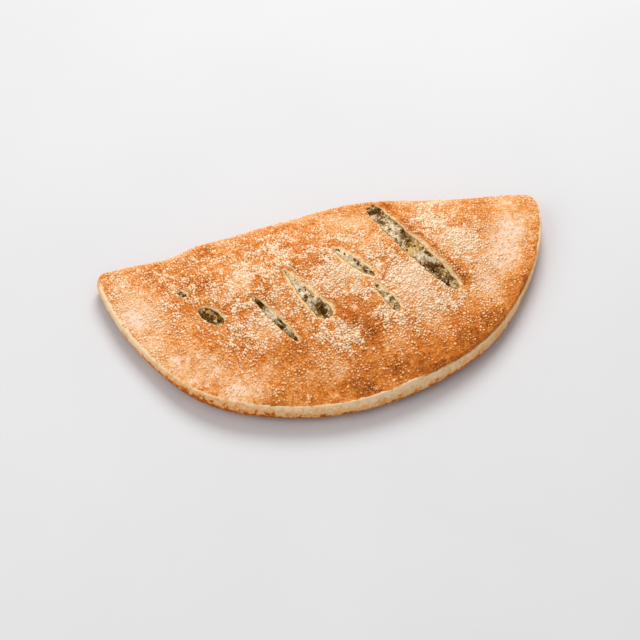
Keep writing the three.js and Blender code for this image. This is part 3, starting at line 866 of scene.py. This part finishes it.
def crust_material(look):
    n = Nodes("baked_crust")
    tone = n.attribute("tone")
    meal = n.attribute("meal")
    mottle = n.noise(*MOTTLE)
    fleck = n.noise(*FLECK)
    sand = n.noise(*SAND)
    patch = n.noise(*PATCH)

    calmer_if_pale = n.level(tone, 0.0, 0.4, 0.5, 1.0)
    calmer_if_brown = n.level(tone, 0.55, 0.85, 1.0, 0.55)
    grainy = n.add(n.sway(fleck, 0.16), n.sway(sand, 0.2))
    grainy = n.times(grainy, calmer_if_pale, calmer_if_brown)
    baked = n.add(tone, n.sway(mottle, 0.14), n.sway(patch, 0.14), grainy)
    skin = n.ramp(baked, look, pale=0.0, golden=0.28, orange=0.52, brown=0.78, scorched=1.0)
    grit, _ = n.cells(*GRIT)
    dust = n.times(n.level(grit, 0.42, 0.24), n.level(meal, 0.0, 1.0, 0.25, 0.35))
    drift = n.times(n.level(mottle, 0.35, 0.6), n.level(meal, 0.8, 1.2, 0.0, 0.6))
    speck, _ = n.cells(*SPECKS)
    spots = n.times(n.level(speck, 0.27, 0.15), n.level(tone, 0.1, 0.45, 0.1, 0.7))
    for cover, shown in ((dust, look.dust), (drift, look.flour), (spots, look.brown)):
        skin = n.mix(cover, skin, shown)

    streaks = (n.sway(n.noise(*SIDE_CLOUD), 0.34), n.sway(fleck, 0.2), n.sway(sand, 0.2))
    # Painted contact shadow with real browning: the side turns browner towards its bottom edge and
    # round the left-front.
    streaky = n.add(n.attribute("side"), *streaks, n.sway(patch, 0.12), n.attribute("toast"))
    band = n.ramp(streaky, look, band=0.12, band_low=0.5, golden=0.74, orange=0.9, brown=1.0)
    pale_side = n.attribute("band")
    frayed = n.level(n.add(pale_side, n.sway(fleck, 0.3)), 0.2, 0.8)
    colour = n.mix(n.times(frayed, n.level(pale_side, 0.0, 0.15)), skin, band)
    charred = n.add(n.spread(n.noise(*UNDER_CLOUD), 0.0, 1.0), n.sway(fleck, 0.2))
    under = n.ramp(charred, look, golden=0.0, orange=0.35, brown=0.65, scorched=1.0)
    colour = n.mix(n.attribute("under"), colour, under)

    # Painted shade with browner torn crust: the slit walls below the top edge are darker and
    # browner, browner still at burnt ends.
    torn_and_shaded = n.add(n.attribute("wall"), n.level(fleck, 0.35, 0.7, -0.3, 0.5))
    inner = n.ramp(n.times(torn_and_shaded, 0.5), look, crumb=0.0, crumb_deep=0.5, brown=1.0)
    crumb = n.attribute("crumb")
    ragged = n.level(n.add(crumb, n.sway(fleck, 0.35), n.sway(sand, 0.3)), 0.15, 1.1)
    colour = n.mix(n.times(ragged, n.level(crumb, 0.0, 0.2)), colour, inner)
    bumps = ((sand, 0.25, 0.0005), (fleck, 0.4, 0.0008))
    return n.finish(colour, n.spread(mottle, 0.6, 0.78), DOUGH_SHINE, *bumps)


def filling_material(look):
    n = Nodes("herb_and_cheese")
    dark = n.attribute("dark")
    blotch = n.noise(*BLOTCH)
    fine = n.noise(*FINE)
    _, large = n.cells(*LARGE_BITS)
    _, small = n.cells(*SMALL_BITS)
    leaf, _ = n.cells(*LEAF_BITS)
    bits = (n.level(large, 0.2, 0.8, -0.2, 0.2), n.level(small, 0.2, 0.8, -0.28, 0.28))
    livelier_if_dark = n.level(dark, 0.0, 0.8, 0.4, 1.15)
    value = n.add(dark, n.times(n.add(n.sway(blotch, 0.15), *bits), livelier_if_dark))
    colour = n.ramp(value, look, cheese=0.0, curd=0.28, herb_light=0.5, herb=0.74, char=1.0)
    stained = n.ramp(value, look, stain=0.3, herb=1.0)
    colour = n.mix(n.times(n.attribute("stain"), 0.85), colour, stained)
    colour = n.mix(n.level(leaf, 0.26, 0.16, 0.0, 0.7), colour, look.char)
    bumps = ((blotch, 0.5, 0.001), (fine, 0.5, 0.0005))
    return n.finish(colour, n.spread(fine, 0.5, 0.75), FILLING_SHINE, *bumps)


def grain_material(name, look, speck_scale, **stops):
    """Each grain's tint, with painted shade on its lower side, picks its colour, and specks have
    the last colour.
    """
    n = Nodes(name)
    speck = n.noise(speck_scale, 2, 0.6)
    colour = n.ramp(n.attribute("tint"), look, **stops)
    colour = n.mix(n.spread(speck, 0.0, 0.25), colour, getattr(look, [*stops][-1]))
    return n.finish(colour, n.spread(speck, 0.6, 0.85), GRAIN_SHINE, (speck, 0.3, 0.0002))


def table_material(look):
    n = Nodes("pale_table")
    shade = [value * TABLE_SHADE for value in look.floor]
    colour = n.mix(n.spread(n.noise(*TABLE_CLOUD), 0.0, 1.0), look.floor, shade)
    return n.finish(colour, TABLE_ROUGHNESS, TABLE_SHINE)


# ---- settings
def swatch(name, description, *shown):
    return FloatVectorProperty(name=name, description=description, subtype="COLOR", size=3, min=0,
                               max=1, default=linear(*shown))


def counter(name, description, count, least=0):
    return IntProperty(name=name, description=description, default=count, min=least)


def length_setting(name, description, length):
    return FloatProperty(name=name, description=description, default=length, unit="LENGTH", min=0)


def angle_setting(name, description, degrees):
    return FloatProperty(name=name, description=description, default=math.radians(degrees),
                         subtype="ANGLE")


def number_setting(name, description, number):
    return FloatProperty(name=name, description=description, default=number)


class CrustSettings(PropertyGroup):
    """Fineness and colours of the baked dough."""

    around: counter("Around", "Points round the outline", 760, 96)
    rings: counter("Rings", "Rings across the top", 122, 12)
    pale: swatch("Pale crust", "Least baked skin", 253, 218, 190)
    golden: swatch("Golden crust", "Lightly baked skin", 241, 175, 111)
    orange: swatch("Baked crust", "Most of the skin", 220, 126, 42)
    brown: swatch("Brown crust", "Well baked skin", 176, 90, 24)
    scorched: swatch("Scorched crust", "Darkest spots", 110, 56, 20)
    flour: swatch("Flour", "Fine flour baked on to the skin", 255, 230, 206)
    dust: swatch("Dust", "Finest meal baked on to the skin", 250, 200, 140)
    band: swatch("Side", "Pale side of the sealed arc", 246, 214, 172)
    band_low: swatch("Lower side", "Lower part of the side", 232, 186, 130)
    crumb: swatch("Slit rim", "Torn dough along the slits", 255, 228, 174)
    # The slit wall colour is darker than the rim's: partly torn dough, partly painted shade.
    crumb_deep: swatch("Slit wall", "Dough deeper in the slits", 255, 200, 124)


class FillingSettings(PropertyGroup):
    """Relief, crumbs and colours of the filling."""

    lump: length_setting("Lumps", "Height of the lumps", 0.001)
    curds: counter("Curds", "Loose crumbs of cheese", 200)
    leaves: counter("Leaves", "Bits of chopped leaf", 300)
    cheese: swatch("Cheese", "Palest cheese", 246, 228, 196)
    curd: swatch("Curd", "Greyer cheese", 212, 186, 146)
    herb_light: swatch("Light herb", "Cheese stained with herb", 158, 126, 80)
    herb: swatch("Herb", "Chopped leaves", 120, 74, 16)
    char: swatch("Char", "Darkest filling", 64, 40, 12)
    stain: swatch("Stain", "Oily yellow parts", 236, 194, 112)


class MealSettings(PropertyGroup):
    """Counts, sizes and colours of the meal on the crust."""

    coarse_count: counter("Coarse grains", "How many", 7600)
    toasted_count: counter("Toasted grains", "How many", 9500)
    fine_count: counter("Fine grains", "How many", 15000)
    coarse_size: length_setting("Coarse size", "Mean radius", 0.00069)
    toasted_size: length_setting("Toasted size", "Mean radius", 0.00044)
    fine_size: length_setting("Fine size", "Mean radius", 0.00021)
    pale: swatch("Pale grain", "Unbaked meal", 255, 242, 220)
    golden: swatch("Golden grain", "Baked meal", 255, 212, 152)
    toasted: swatch("Toasted grain", "Browned meal", 228, 136, 58)


class StudioSettings(PropertyGroup):
    """Camera, table and lights."""

    azimuth: angle_setting("Azimuth", "Camera turned about Z", -10.4)
    elevation: angle_setting("Elevation", "Camera above the table", 50.08)
    roll: angle_setting("Roll", "Camera turned about its own axis", -2.05)
    distance: length_setting("Distance", "Camera to its aim", 1.0427)
    lens: number_setting("Lens", "Focal length, in mm", 112.5)
    floor: swatch("Table", "Plain table", 220, 220, 222)
    key: number_setting("Key light", "Power, in watts", 12.8)
    fill: number_setting("Fill light", "Power, in watts", 4.6)
    sky: number_setting("Surroundings", "Even light from all round", 0.53)


# ---- crust and filling
def ring_shares(rings, crowding):
    """Shares of the outline for rings from the hub outwards, closer together by the outline."""
    return [1 - (k / rings) ** crowding for k in range(rings - 1, 0, -1)]


def side_bulge(step, parted, waver, angle):
    """How far the side stands out at that step from the top edge to the bottom edge."""
    bulge = (SIDE_BULGE + waver) * math.sin(math.pi * step)
    if 0 < step < 1:
        bulge = bulge + OVERHANG
    bulge = bulge - parted * bell(step, *SEAM_BELL)
    return bulge + bell(angle, *SKIRT) * step_up(step, *SKIRT_STEP)


def crust_skin(look):
    """The dough's outer skin: top, side band and underside."""
    outline = Outline(inside_outline)
    skin = RingSkin()
    skin.ring(HUB[:1], HUB[1:], skin_height(HUB[:1], HUB[1:]))
    for share in ring_shares(look.rings, TOP_CROWDING):
        x, y = outline.ring(look.around, share)
        skin.ring(x, y, skin_height(x, y))
    x, y = outline.ring(look.around, 1.0)
    run_x = np.roll(x, -1) - np.roll(x, 1)
    run_y = np.roll(y, -1) - np.roll(y, 1)
    upper = skin_height(x, y)
    lower = base_height(x, y)
    scale = step_up(upper - lower, *SIDE_HEIGHTS) / np.hypot(run_x, run_y)
    angle = arc_angle(x, y)
    parted = bell(angle, *SEAM_GAPE) + SEAM_CREASE
    waver = ruffle(x, y, 0.0, SIDE_WAVES)
    for step in SIDE_STEPS:
        push = scale * side_bulge(step, parted, waver, angle)
        skin.ring(x + run_y * push, y - run_x * push, upper + (lower - upper) * step)
    for share in reversed(ring_shares(BASE_RINGS, BASE_CROWDING)):
        x, y = outline.ring(BASE_AROUND, share)
        skin.ring(x, y, base_height(x, y))
    skin.ring(HUB[:1], HUB[1:], [0.0])
    return skin.piece("calzone_crust")


def pocket_skin(name, shrink):
    outline = Outline(lambda x, y: inside_pocket(x, y) - shrink - POCKET_TRIM, POCKET_SAMPLES)
    skin = RingSkin()
    ceiling, floor = pocket_heights(HUB[:1], HUB[1:], shrink)
    shares = ring_shares(POCKET_RINGS, POCKET_CROWDING)
    skin.ring(HUB[:1], HUB[1:], ceiling)
    for side, run in enumerate((shares, [1.0, *reversed(shares)])):
        for share in run:
            x, y = outline.ring(POCKET_AROUND, share)
            skin.ring(x, y, pocket_heights(x, y, shrink)[side])
    skin.ring(HUB[:1], HUB[1:], floor)
    return skin.piece(name)


def slit_middle(slit):
    return slit_point(slit, np.zeros(1), np.zeros(1))


def slit_loop(slit, density, extra, least, blunt=1.0):
    """A walk round a slit widened by extra, as places along it and aside of its middle."""
    steps = max(LEAST_STEPS, int(slit["length"] * density))
    along = -np.cos(np.pi * (np.arange(steps) + 0.5) / steps) * (slit["length"] / 2 + extra)
    limit = blunt * slit["length"] / 2
    half = np.maximum(slit_half_width(slit, np.clip(along, -limit, limit)) + extra, least)
    return np.concatenate([along, along[::-1]]), np.concatenate([-half, half[::-1]])


def slit_cutter(name, slit):
    """The shape cut out of the crust's top for a slit."""
    skin = RingSkin()
    middle = slit_middle(slit)
    centre = skin_height(*middle)
    skin.ring(*middle, centre + CUTTER_LEVELS[0][0])
    for above, extra in CUTTER_LEVELS:
        x, y = slit_point(slit, *slit_loop(slit, CUTTER_DENSITY, extra, CUTTER_LEAST, CUTTER_BLUNT))
        skin.ring(x, y, skin_height(x, y) + above)
    skin.ring(*middle, centre - SLIT_DEPTH)
    return skin.piece(f"cut_{name}")


def slit_stretches(slit, kind, along, aside):
    """How strongly each point lies in the slit's stretches of that kind, 0 to 1."""
    total = np.zeros_like(along)
    for centre, across, reach in slit[kind]:
        span = ((along - centre) / reach) ** 2 + ((aside - across) / max(reach, LEAST_REACH)) ** 2
        total += np.exp(-(span**1.5))
    return np.clip(total, 0, 1)


def filling_surface(slit, along, aside, lump):
    """Height of the filling in a slit, above the table."""
    x, y = slit_point(slit, along, aside)
    half = np.maximum(slit_half_width(slit, along), LEAST_HALF_WIDTH)
    to_edge = np.clip((half - np.abs(aside)) / EDGE_DIP_RUN, 0, 1)
    stretches = [slit_stretches(slit, kind, along, aside) for kind in ("dark", "curd")]
    depth = SINK_SHARE * slit["sink"] + STRETCH_RELIEF * (stretches[0] - stretches[1])
    depth = depth + EDGE_DIP * (1 - to_edge) ** 2
    return top_height(x, y) - depth + lump * ruffle(x, y, 0.0, *FILLING_LUMPS)


def slit_plug(name, slit, lump):
    """The filling where it swells up into a slit, as a fine lumpy plug."""
    skin = RingSkin()
    middle = slit_middle(slit)
    skin.ring(*middle, filling_surface(slit, np.zeros(1), np.zeros(1), lump))
    along, aside = slit_loop(slit, PLUG_DENSITY, -PLUG_GAP, PLUG_LEAST)
    shells = max(LEAST_SHELLS, int(slit["width"] * SHELL_DENSITY))
    for shell in range(1, shells + 1):
        scale = shell / shells
        place = (along * (PLUG_CORE + (1 - PLUG_CORE) * scale), aside * scale)
        x, y = slit_point(slit, *place)
        z = filling_surface(slit, *place, lump)
        skin.ring(x, y, z)
    skin.ring(x, y, z - PLUG_SHOULDER)
    skin.ring(x, y, np.minimum(top_height(x, y) - PLUG_DEPTH, z - PLUG_LEAST_DEPTH))
    skin.ring(*middle, top_height(*middle) - PLUG_DEPTH)
    return skin.piece(f"plug_{name}")


def meal_bare(x, y):
    """How bare of meal the crust is, 0 to 1."""
    rim = step_down(inside_arc(x, y), *BARE_RIM_RUN) * bell(arc_angle(x, y), *BARE_RIM)
    return np.clip(patches(x, y, BARE_PATCHES) + rim, 0, 1)


def meal_cover(x, y):
    """How thick the meal lies in each part of the crust, before it gathers in clumps."""
    band = MEAL_EVERYWHERE + bell(y + MEAL_BAND_SLANT * x, *MEAL_BAND)
    cover = band + MEAL_GAIN * patches(x, y, MEAL_PATCHES)
    return cover * (1 - MEAL_LOSS * meal_bare(x, y))


def meal_density(x, y):
    density = meal_cover(x, y)
    clump = CLUMP_LEAST + step_up(ruffle(x, y, 0.0, CLUMPS), *CLUMP_STEP)
    clump = clump + CLUMP_FILL * (1 - clump) * np.clip(density - CLUMP_FILL, 0, 1)
    distance, lip, _, streak = beside_slits(x, y)
    clear = soft_edge(distance, lip, *LIP_CLEAR) * (1 - STREAK_BARE * streak)
    return np.clip(density * clump * clear, 0, MOST_MEAL)


def paint_crust(mesh):
    """Masks and tones that the crust's material reads, from where each vertex is."""
    x, y, z = mesh_points(mesh).T
    top = top_height(x, y)
    base = base_height(x, y)
    inset = inside_outline(x, y)
    angle = arc_angle(x, y)
    depth = top - z
    outer = inset < OUTER_SKIN
    thick = np.maximum(top - base, LEAST_THICK)
    side = np.clip(depth / thick, 0, 1)

    rolled = bell(angle, *ROLLED_EDGE)
    start = BAND_START + BAND_START_ROLLED * rolled
    band = np.where(outer, step_up(side, start, start + BAND_SOFTNESS), 0.0)
    creep = CREEP + step_up(angle, *CREEP_LEFT) + ruffle(x, y, z, *FRAYS)
    spill = (1 - soft_edge(inset, creep, *SPILL_EDGE)) * step_down(rolled, *SPILL_END)
    band = np.maximum(band, np.where(depth < CREEP_DEPTH, spill, 0.0))
    band = band * step_up(inside_fold(x, y), *BAND_BY_FOLD) * step_up(thick, *BAND_BY_HEIGHT)
    bottom = (z < base + UNDER_LAYER) & (depth > UNDER_DEPTH)
    under = np.where(outer, step_up(side, *UNDER_STEP), bottom)

    distance, lip, burnt, streak = beside_slits(x, y)
    reach = lip * (1 - BURNT_LIP * burnt) * (1 + ruffle(x, y, z, LIP_WAVES))
    wall = np.where((depth > WALL_DEPTH) & (distance < WALL_REACH), 1.0, 0.0)
    crumb = np.maximum(1 - soft_edge(distance, reach, *LIP_EDGE), wall)

    density = meal_density(x, y)
    covered = np.clip(density, 0, 1) + np.clip(meal_cover(x, y), 0, 1)
    tone = CRUST_TONE + ruffle(x, y, z, TONE_CLOUDS) + MEAL_TONE * covered + streak
    tone = tone + BROWN_TONE * patches(x, y, BROWN_PATCHES)
    tone = tone - PALE_TONE * patches(x, y, PALE_PATCHES)
    tone = tone + step_down(inside_arc(x, y), *RIM_RUN) * (RIM_TONE + bell(angle, *FRONT_RIM))
    tone = tone - FOLD_TONE * step_down(inside_fold(x, y), *FOLD_RUN)
    set_attributes(
        mesh,
        tone=np.clip(tone, 0, 1),
        meal=density,
        band=band,
        side=side,
        toast=bell(angle, *TOAST_AND_SHADE_BELL) - step_up(angle, *TOAST_AND_SHADE_FALL),
        under=under,
        crumb=crumb,
        wall=wall * (1 + burnt),
    )


def paint_filling(mesh):
    """Dark and stained parts that the filling's material reads, with painted shade along the edges
    of sunk filling.
    """
    x, y, _ = mesh_points(mesh).T
    dark = np.full(len(x), FILLING_TONE)
    stain = np.zeros(len(x))
    for slit in SLITS.values():
        distance, *place = slit_distance(slit, x, y)
        inside = distance < FILLING_REACH
        shade = FILLING_TONE + DARK_TONE * slit_stretches(slit, "dark", *place)
        shade = shade - CURD_TONE * slit_stretches(slit, "curd", *place)
        # Painted shade: the filling is darker along the slit's edge where it sinks deep, lighter
        # where it lies shallow.
        shade = shade + SINK_EDGE_SHADE * (slit["sink"] - EVEN_SINK) * bell(distance, *EDGE_SHADE_BELL)
        dark = np.where(inside, shade, dark)
        stain = np.where(inside, slit_stretches(slit, "stain", *place), stain)
    set_attributes(mesh, dark=dark, stain=stain)


# ---- grains
def round_shape():
    """A closed grain of 20 faces."""
    work = bmesh.new()
    bmesh.ops.create_icosphere(work, subdivisions=1, radius=1)
    points = np.array([vertex.co[:] for vertex in work.verts])
    faces = np.array([[vertex.index for vertex in face.verts] for face in work.faces], np.int32)
    work.free()
    return points, faces


def sharp_shape(sides):
    """A closed grain: two points and a belt. Six sides give 12 faces, four give 8."""
    turn = 2 * np.pi * np.arange(sides) / sides
    belt = np.column_stack([np.cos(turn), np.sin(turn), np.zeros(sides)])
    points = np.vstack([belt, [[0, 0, 1], [0, 0, -1]]])
    pairs = [(k, (k + 1) % sides) for k in range(sides)]
    faces = [face for a, b in pairs for face in ((a, b, sides), (b, a, sides + 1))]
    return points, np.array(faces, np.int32)


def scatter(name, shape, centres, radii, rng, stretch, tint, smooth=False):
    """Joined grains, each turned, stretched and made uneven by the seeded draws."""
    base, faces = shape
    count = len(centres)
    points = base * rng.uniform(1 - GRAIN_JITTER, 1 + GRAIN_JITTER, (count, len(base), 1))
    points = points * rng.uniform(1 - stretch, 1 + stretch, (count, 1, 3))
    turn = rng.normal(size=(count, 4))
    turn /= np.linalg.norm(turn, axis=1, keepdims=True)
    w, a, b, c = turn.T
    zero = np.zeros(count)
    cross = np.array([[zero, -c, b], [c, zero, -a], [-b, a, zero]]).transpose(2, 0, 1)
    turned = np.eye(3) + 2 * w[:, None, None] * cross + 2 * cross @ cross
    points = points @ turned.transpose(0, 2, 1)
    # Painted shade: the lower side of each grain is tinted towards the darker, warmer end of its
    # ramp.
    lower = np.clip(0.5 - 0.5 * points[:, :, 2], 0, 1)
    shade = np.clip(tint[:, None] + GRAIN_PAINTED_SHADE * lower, 0, 1)
    points = points * radii[:, None, None] * np.array([1.0, 1.0, FLATTEN]) + centres[:, None, :]
    all_faces = (faces[None] + (np.arange(count) * len(base))[:, None, None]).reshape(-1, 3)
    piece = make_piece(name, points.reshape(-1, 3), all_faces, smooth)
    set_attributes(piece.data, tint=shade.ravel())
    return piece


class Spacing:
    """Remembers places, and refuses one that is too near an earlier one."""

    def __init__(self, gap):
        self.gap = gap
        self.cells = {}

    def accepts(self, x, y):
        column = int(x // self.gap)
        row = int(y // self.gap)
        for i in (column - 1, column, column + 1):
            for j in (row - 1, row, row + 1):
                for other_x, other_y in self.cells.get((i, j), ()):
                    if math.hypot(other_x - x, other_y - y) < self.gap:
                        return False
        self.cells.setdefault((column, row), []).append((x, y))
        return True


def meal_places(rng, count, clearance, gap, everywhere):
    """Seeded places on the crust, thick where the meal lies thick, and everywhere a little."""
    spacing = Spacing(gap)
    found = []
    for _ in range(STREWN_TRIES):
        x = rng.uniform(*STREWN_X, count * 2)
        y = rng.uniform(*STREWN_Y, count * 2)
        keep = (inside_outline(x, y) > STREWN_EDGE) & (inside_fold(x, y) > STREWN_FOLD)
        x = x[keep]
        y = y[keep]
        share = everywhere * (1 - STREWN_BARE * meal_bare(x, y))
        share = share + (1 - everywhere) * meal_density(x, y)
        keep = rng.uniform(0, MOST_MEAL, len(x)) < share
        x = x[keep]
        y = y[keep]
        keep = beside_slits(x, y)[0] > clearance
        found.extend(place for place in zip(x[keep], y[keep]) if spacing.accepts(*place))
        if len(found) >= count:
            break
    return np.array(found[:count]).T


def crumb_places(rng, count, lump, chance, chance_in_dark):
    """Seeded places on the filling in the slits, with other chances in its dark stretches."""
    slits = list(SLITS.values())
    areas = np.array([slit["length"] * slit["width"] for slit in slits])
    centres = []
    for pick in rng.choice(len(slits), count, p=areas / areas.sum()):
        slit = slits[pick]
        along = rng.uniform(-CRUMB_ALONG, CRUMB_ALONG, 1) * slit["length"]
        half = slit_half_width(slit, along) - CRUMB_INSET
        if half < CRUMB_ROOM:
            continue
        aside = rng.uniform(-1, 1) * half
        darkness = slit_stretches(slit, "dark", along, aside)
        if rng.uniform() > chance + (chance_in_dark - chance) * darkness:
            continue
        z = filling_surface(slit, along, aside, lump) + CRUMB_LIFT
        centres.append(np.concatenate([*slit_point(slit, along, aside), z]))
    return np.array(centres)


def hand_over(piece, material, slot, *nodes):
    piece.data.materials.clear()
    piece.data.materials.append(material)
    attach(piece, "root")
    if nodes:
        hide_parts(*nodes)


# ---- operators
class CALZONE_OT_crust(Operator):
    """Build the folded and baked dough with its steam slits"""

    bl_idname = "calzone.crust"
    bl_label = "Crust"

    def execute(self, context):
        look = context.scene.calzone_crust
        piece = crust_skin(look)
        cutters = [pocket_skin("cut_pocket", 0.0)]
        cutters.extend(slit_cutter(name, slit) for name, slit in SLITS.items())
        combine(piece, cutters, "DIFFERENCE")
        paint_crust(piece.data)
        hand_over(piece, crust_material(look), "crust", "crust")
        return {"FINISHED"}


class CALZONE_OT_filling(Operator):
    """Build the filling, which swells up into the slits"""

    bl_idname = "calzone.filling"
    bl_label = "Filling"

    def execute(self, context):
        look = context.scene.calzone_filling
        piece = pocket_skin("calzone_filling", POCKET_GAP)
        plugs = [slit_plug(name, slit, look.lump / MM) for name, slit in SLITS.items()]
        combine(piece, plugs, "UNION")
        paint_filling(piece.data)
        hand_over(piece, filling_material(look), "filling", "filling")
        return {"FINISHED"}


class CALZONE_OT_crumbs(Operator):
    """Strew curds and chopped leaf over the filling in the slits"""

    bl_idname = "calzone.crumbs"
    bl_label = "Curds and leaves"

    def execute(self, context):
        look = context.scene.calzone_filling
        rng = np.random.default_rng(CRUMB_SEED)
        for name, (kind, size, stretch, chances, stops) in CRUMB_KINDS.items():
            centres = crumb_places(rng, getattr(look, kind), look.lump / MM, *chances)
            radii = size * rng.uniform(*CRUMB_SIZES, len(centres))
            tint = rng.uniform(0, 1, len(centres))
            piece = scatter(name, sharp_shape(CRUMB_SIDES), centres, radii, rng, stretch, tint)
            hand_over(piece, grain_material(name, look, CRUMB_SPECKS, **stops), "filling")
        return {"FINISHED"}


class CALZONE_OT_meal(Operator):
    """Strew coarse and fine meal over the crust"""

    bl_idname = "calzone.meal"
    bl_label = "Meal"

    def execute(self, context):
        look = context.scene.calzone_meal
        rng = np.random.default_rng(MEAL_SEED)
        for kind, sides, clearance, gap, everywhere, browner in MEAL_KINDS:
            name = f"{kind}_meal"
            wanted = getattr(look, f"{kind}_count")
            size = getattr(look, f"{kind}_size") / MM
            x, y = meal_places(rng, wanted, clearance, gap, everywhere)
            density = np.clip(meal_density(x, y), 0, 1)
            spread = np.exp(rng.normal(0, MEAL_SPREAD, len(x))).clip(*MEAL_SIZES)
            radii = size * spread * (SPARSE_SIZE + DENSE_SIZE * density)
            tint = rng.beta(*MEAL_TINT_DRAW, len(x)) * (DRAWN_TINT + (1 - DRAWN_TINT) * density)
            tint = tint + SPARSE_TINT * (1 - density) + MEAL_TINT + browner
            tint = tint + BROWN_TINT * patches(x, y, BROWN_PATCHES)
            tint = np.clip(tint - PALE_TINT * patches(x, y, PALE_PATCHES), 0, 1)
            centres = np.column_stack([x, y, skin_height(x, y) + MEAL_LIFT * radii])
            shape = sharp_shape(sides) if sides else round_shape()
            smooth = kind != "fine"
            piece = scatter(name, shape, centres, radii, rng, MEAL_STRETCH, tint, smooth)
            hand_over(piece, grain_material(name, look, MEAL_SPECKS, **MEAL_COLOURS), "crust")
        return {"FINISHED"}


def aim(thing, place, target, roll=0.0):
    back = (place - target).normalized()
    right = Vector((0, 0, 1)).cross(back).normalized()
    up = back.cross(right)
    turned = Matrix((right, up, back)).transposed() @ Matrix.Rotation(roll, 3, "Z")
    thing.matrix_world = Matrix.Translation(place) @ turned.to_4x4()


def area_light(name, place, size, colour, power):
    """A round lamp that shines on the middle of the table."""
    data = bpy.data.lights.new(name, "AREA")
    data.shape = "DISK"
    data.size = size
    data.energy = power
    data.color = colour
    aim(make_object(name, data), Vector(place), Vector())


class CALZONE_OT_studio(Operator):
    """Set the plain table, the soft lights and the camera"""

    bl_idname = "calzone.studio"
    bl_label = "Studio"

    def execute(self, context):
        look = context.scene.calzone_studio
        scene = context.scene
        mesh = bpy.data.meshes.new("table")
        corners = ((-1, -1), (1, -1), (1, 1), (-1, 1))
        places = [(x * TABLE_HALF, y * TABLE_HALF, TABLE_TOP) for x, y in corners]
        mesh.from_pydata(places, [], [(0, 1, 2, 3)])
        table = make_object("table", mesh)
        mesh.materials.append(table_material(look))

        area_light("key", *KEY_LIGHT, look.key)
        area_light("fill", *FILL_LIGHT, look.fill)
        world = bpy.data.worlds.new("studio")
        world.use_nodes = True
        background = world.node_tree.nodes["Background"]
        background.inputs["Color"].default_value = (1.0, 1.0, 1.0, 1.0)
        background.inputs["Strength"].default_value = look.sky
        scene.world = world
        scene.view_settings.view_transform = "Standard"

        target = Vector(((AIM_POINT + ROW_SHIFT) * MM).tolist())
        back = Vector((
            math.sin(look.azimuth) * math.cos(look.elevation),
            -math.cos(look.azimuth) * math.cos(look.elevation),
            math.sin(look.elevation),
        ))
        data = bpy.data.cameras.new("camera")
        data.lens = look.lens
        data.sensor_width = SENSOR_WIDTH
        camera = make_object("camera", data)
        aim(camera, target + back * look.distance, target, look.roll)
        scene.camera = camera
        return {"FINISHED"}


class CALZONE_PT_panel(Panel):
    """Buttons and settings of the calzone"""

    bl_idname = "CALZONE_PT_panel"
    bl_label = "Calzone"
    bl_space_type = "VIEW_3D"
    bl_region_type = "UI"
    bl_category = "Calzone"

    def draw(self, context):
        layout = self.layout
        for operator in OPERATORS:
            layout.operator(operator.bl_idname)
        for name in SETTINGS:
            settings = getattr(context.scene, name)
            box = layout.box()
            box.label(text=name.replace("_", " "))
            for prop in settings.__annotations__:
                box.prop(settings, prop)


SETTINGS = {
    "calzone_crust": CrustSettings,
    "calzone_filling": FillingSettings,
    "calzone_meal": MealSettings,
    "calzone_studio": StudioSettings,
}
OPERATORS = (
    CALZONE_OT_studio,
    CALZONE_OT_crust,
    CALZONE_OT_filling,
    CALZONE_OT_crumbs,
    CALZONE_OT_meal,
)
CLASSES = (*SETTINGS.values(), *OPERATORS, CALZONE_PT_panel)


def register():
    for cls in CLASSES:
        bpy.utils.register_class(cls)
    for name, group in SETTINGS.items():
        setattr(bpy.types.Scene, name, PointerProperty(type=group))


def unregister():
    for name in SETTINGS:
        delattr(bpy.types.Scene, name)
    for cls in reversed(CLASSES):
        bpy.utils.unregister_class(cls)


def main():
    register()
    bpy.ops.calzone.studio()
    bpy.ops.calzone.crust()
    bpy.ops.calzone.filling()
    bpy.ops.calzone.crumbs()
    bpy.ops.calzone.meal()


if __name__ == "__main__":
    main()
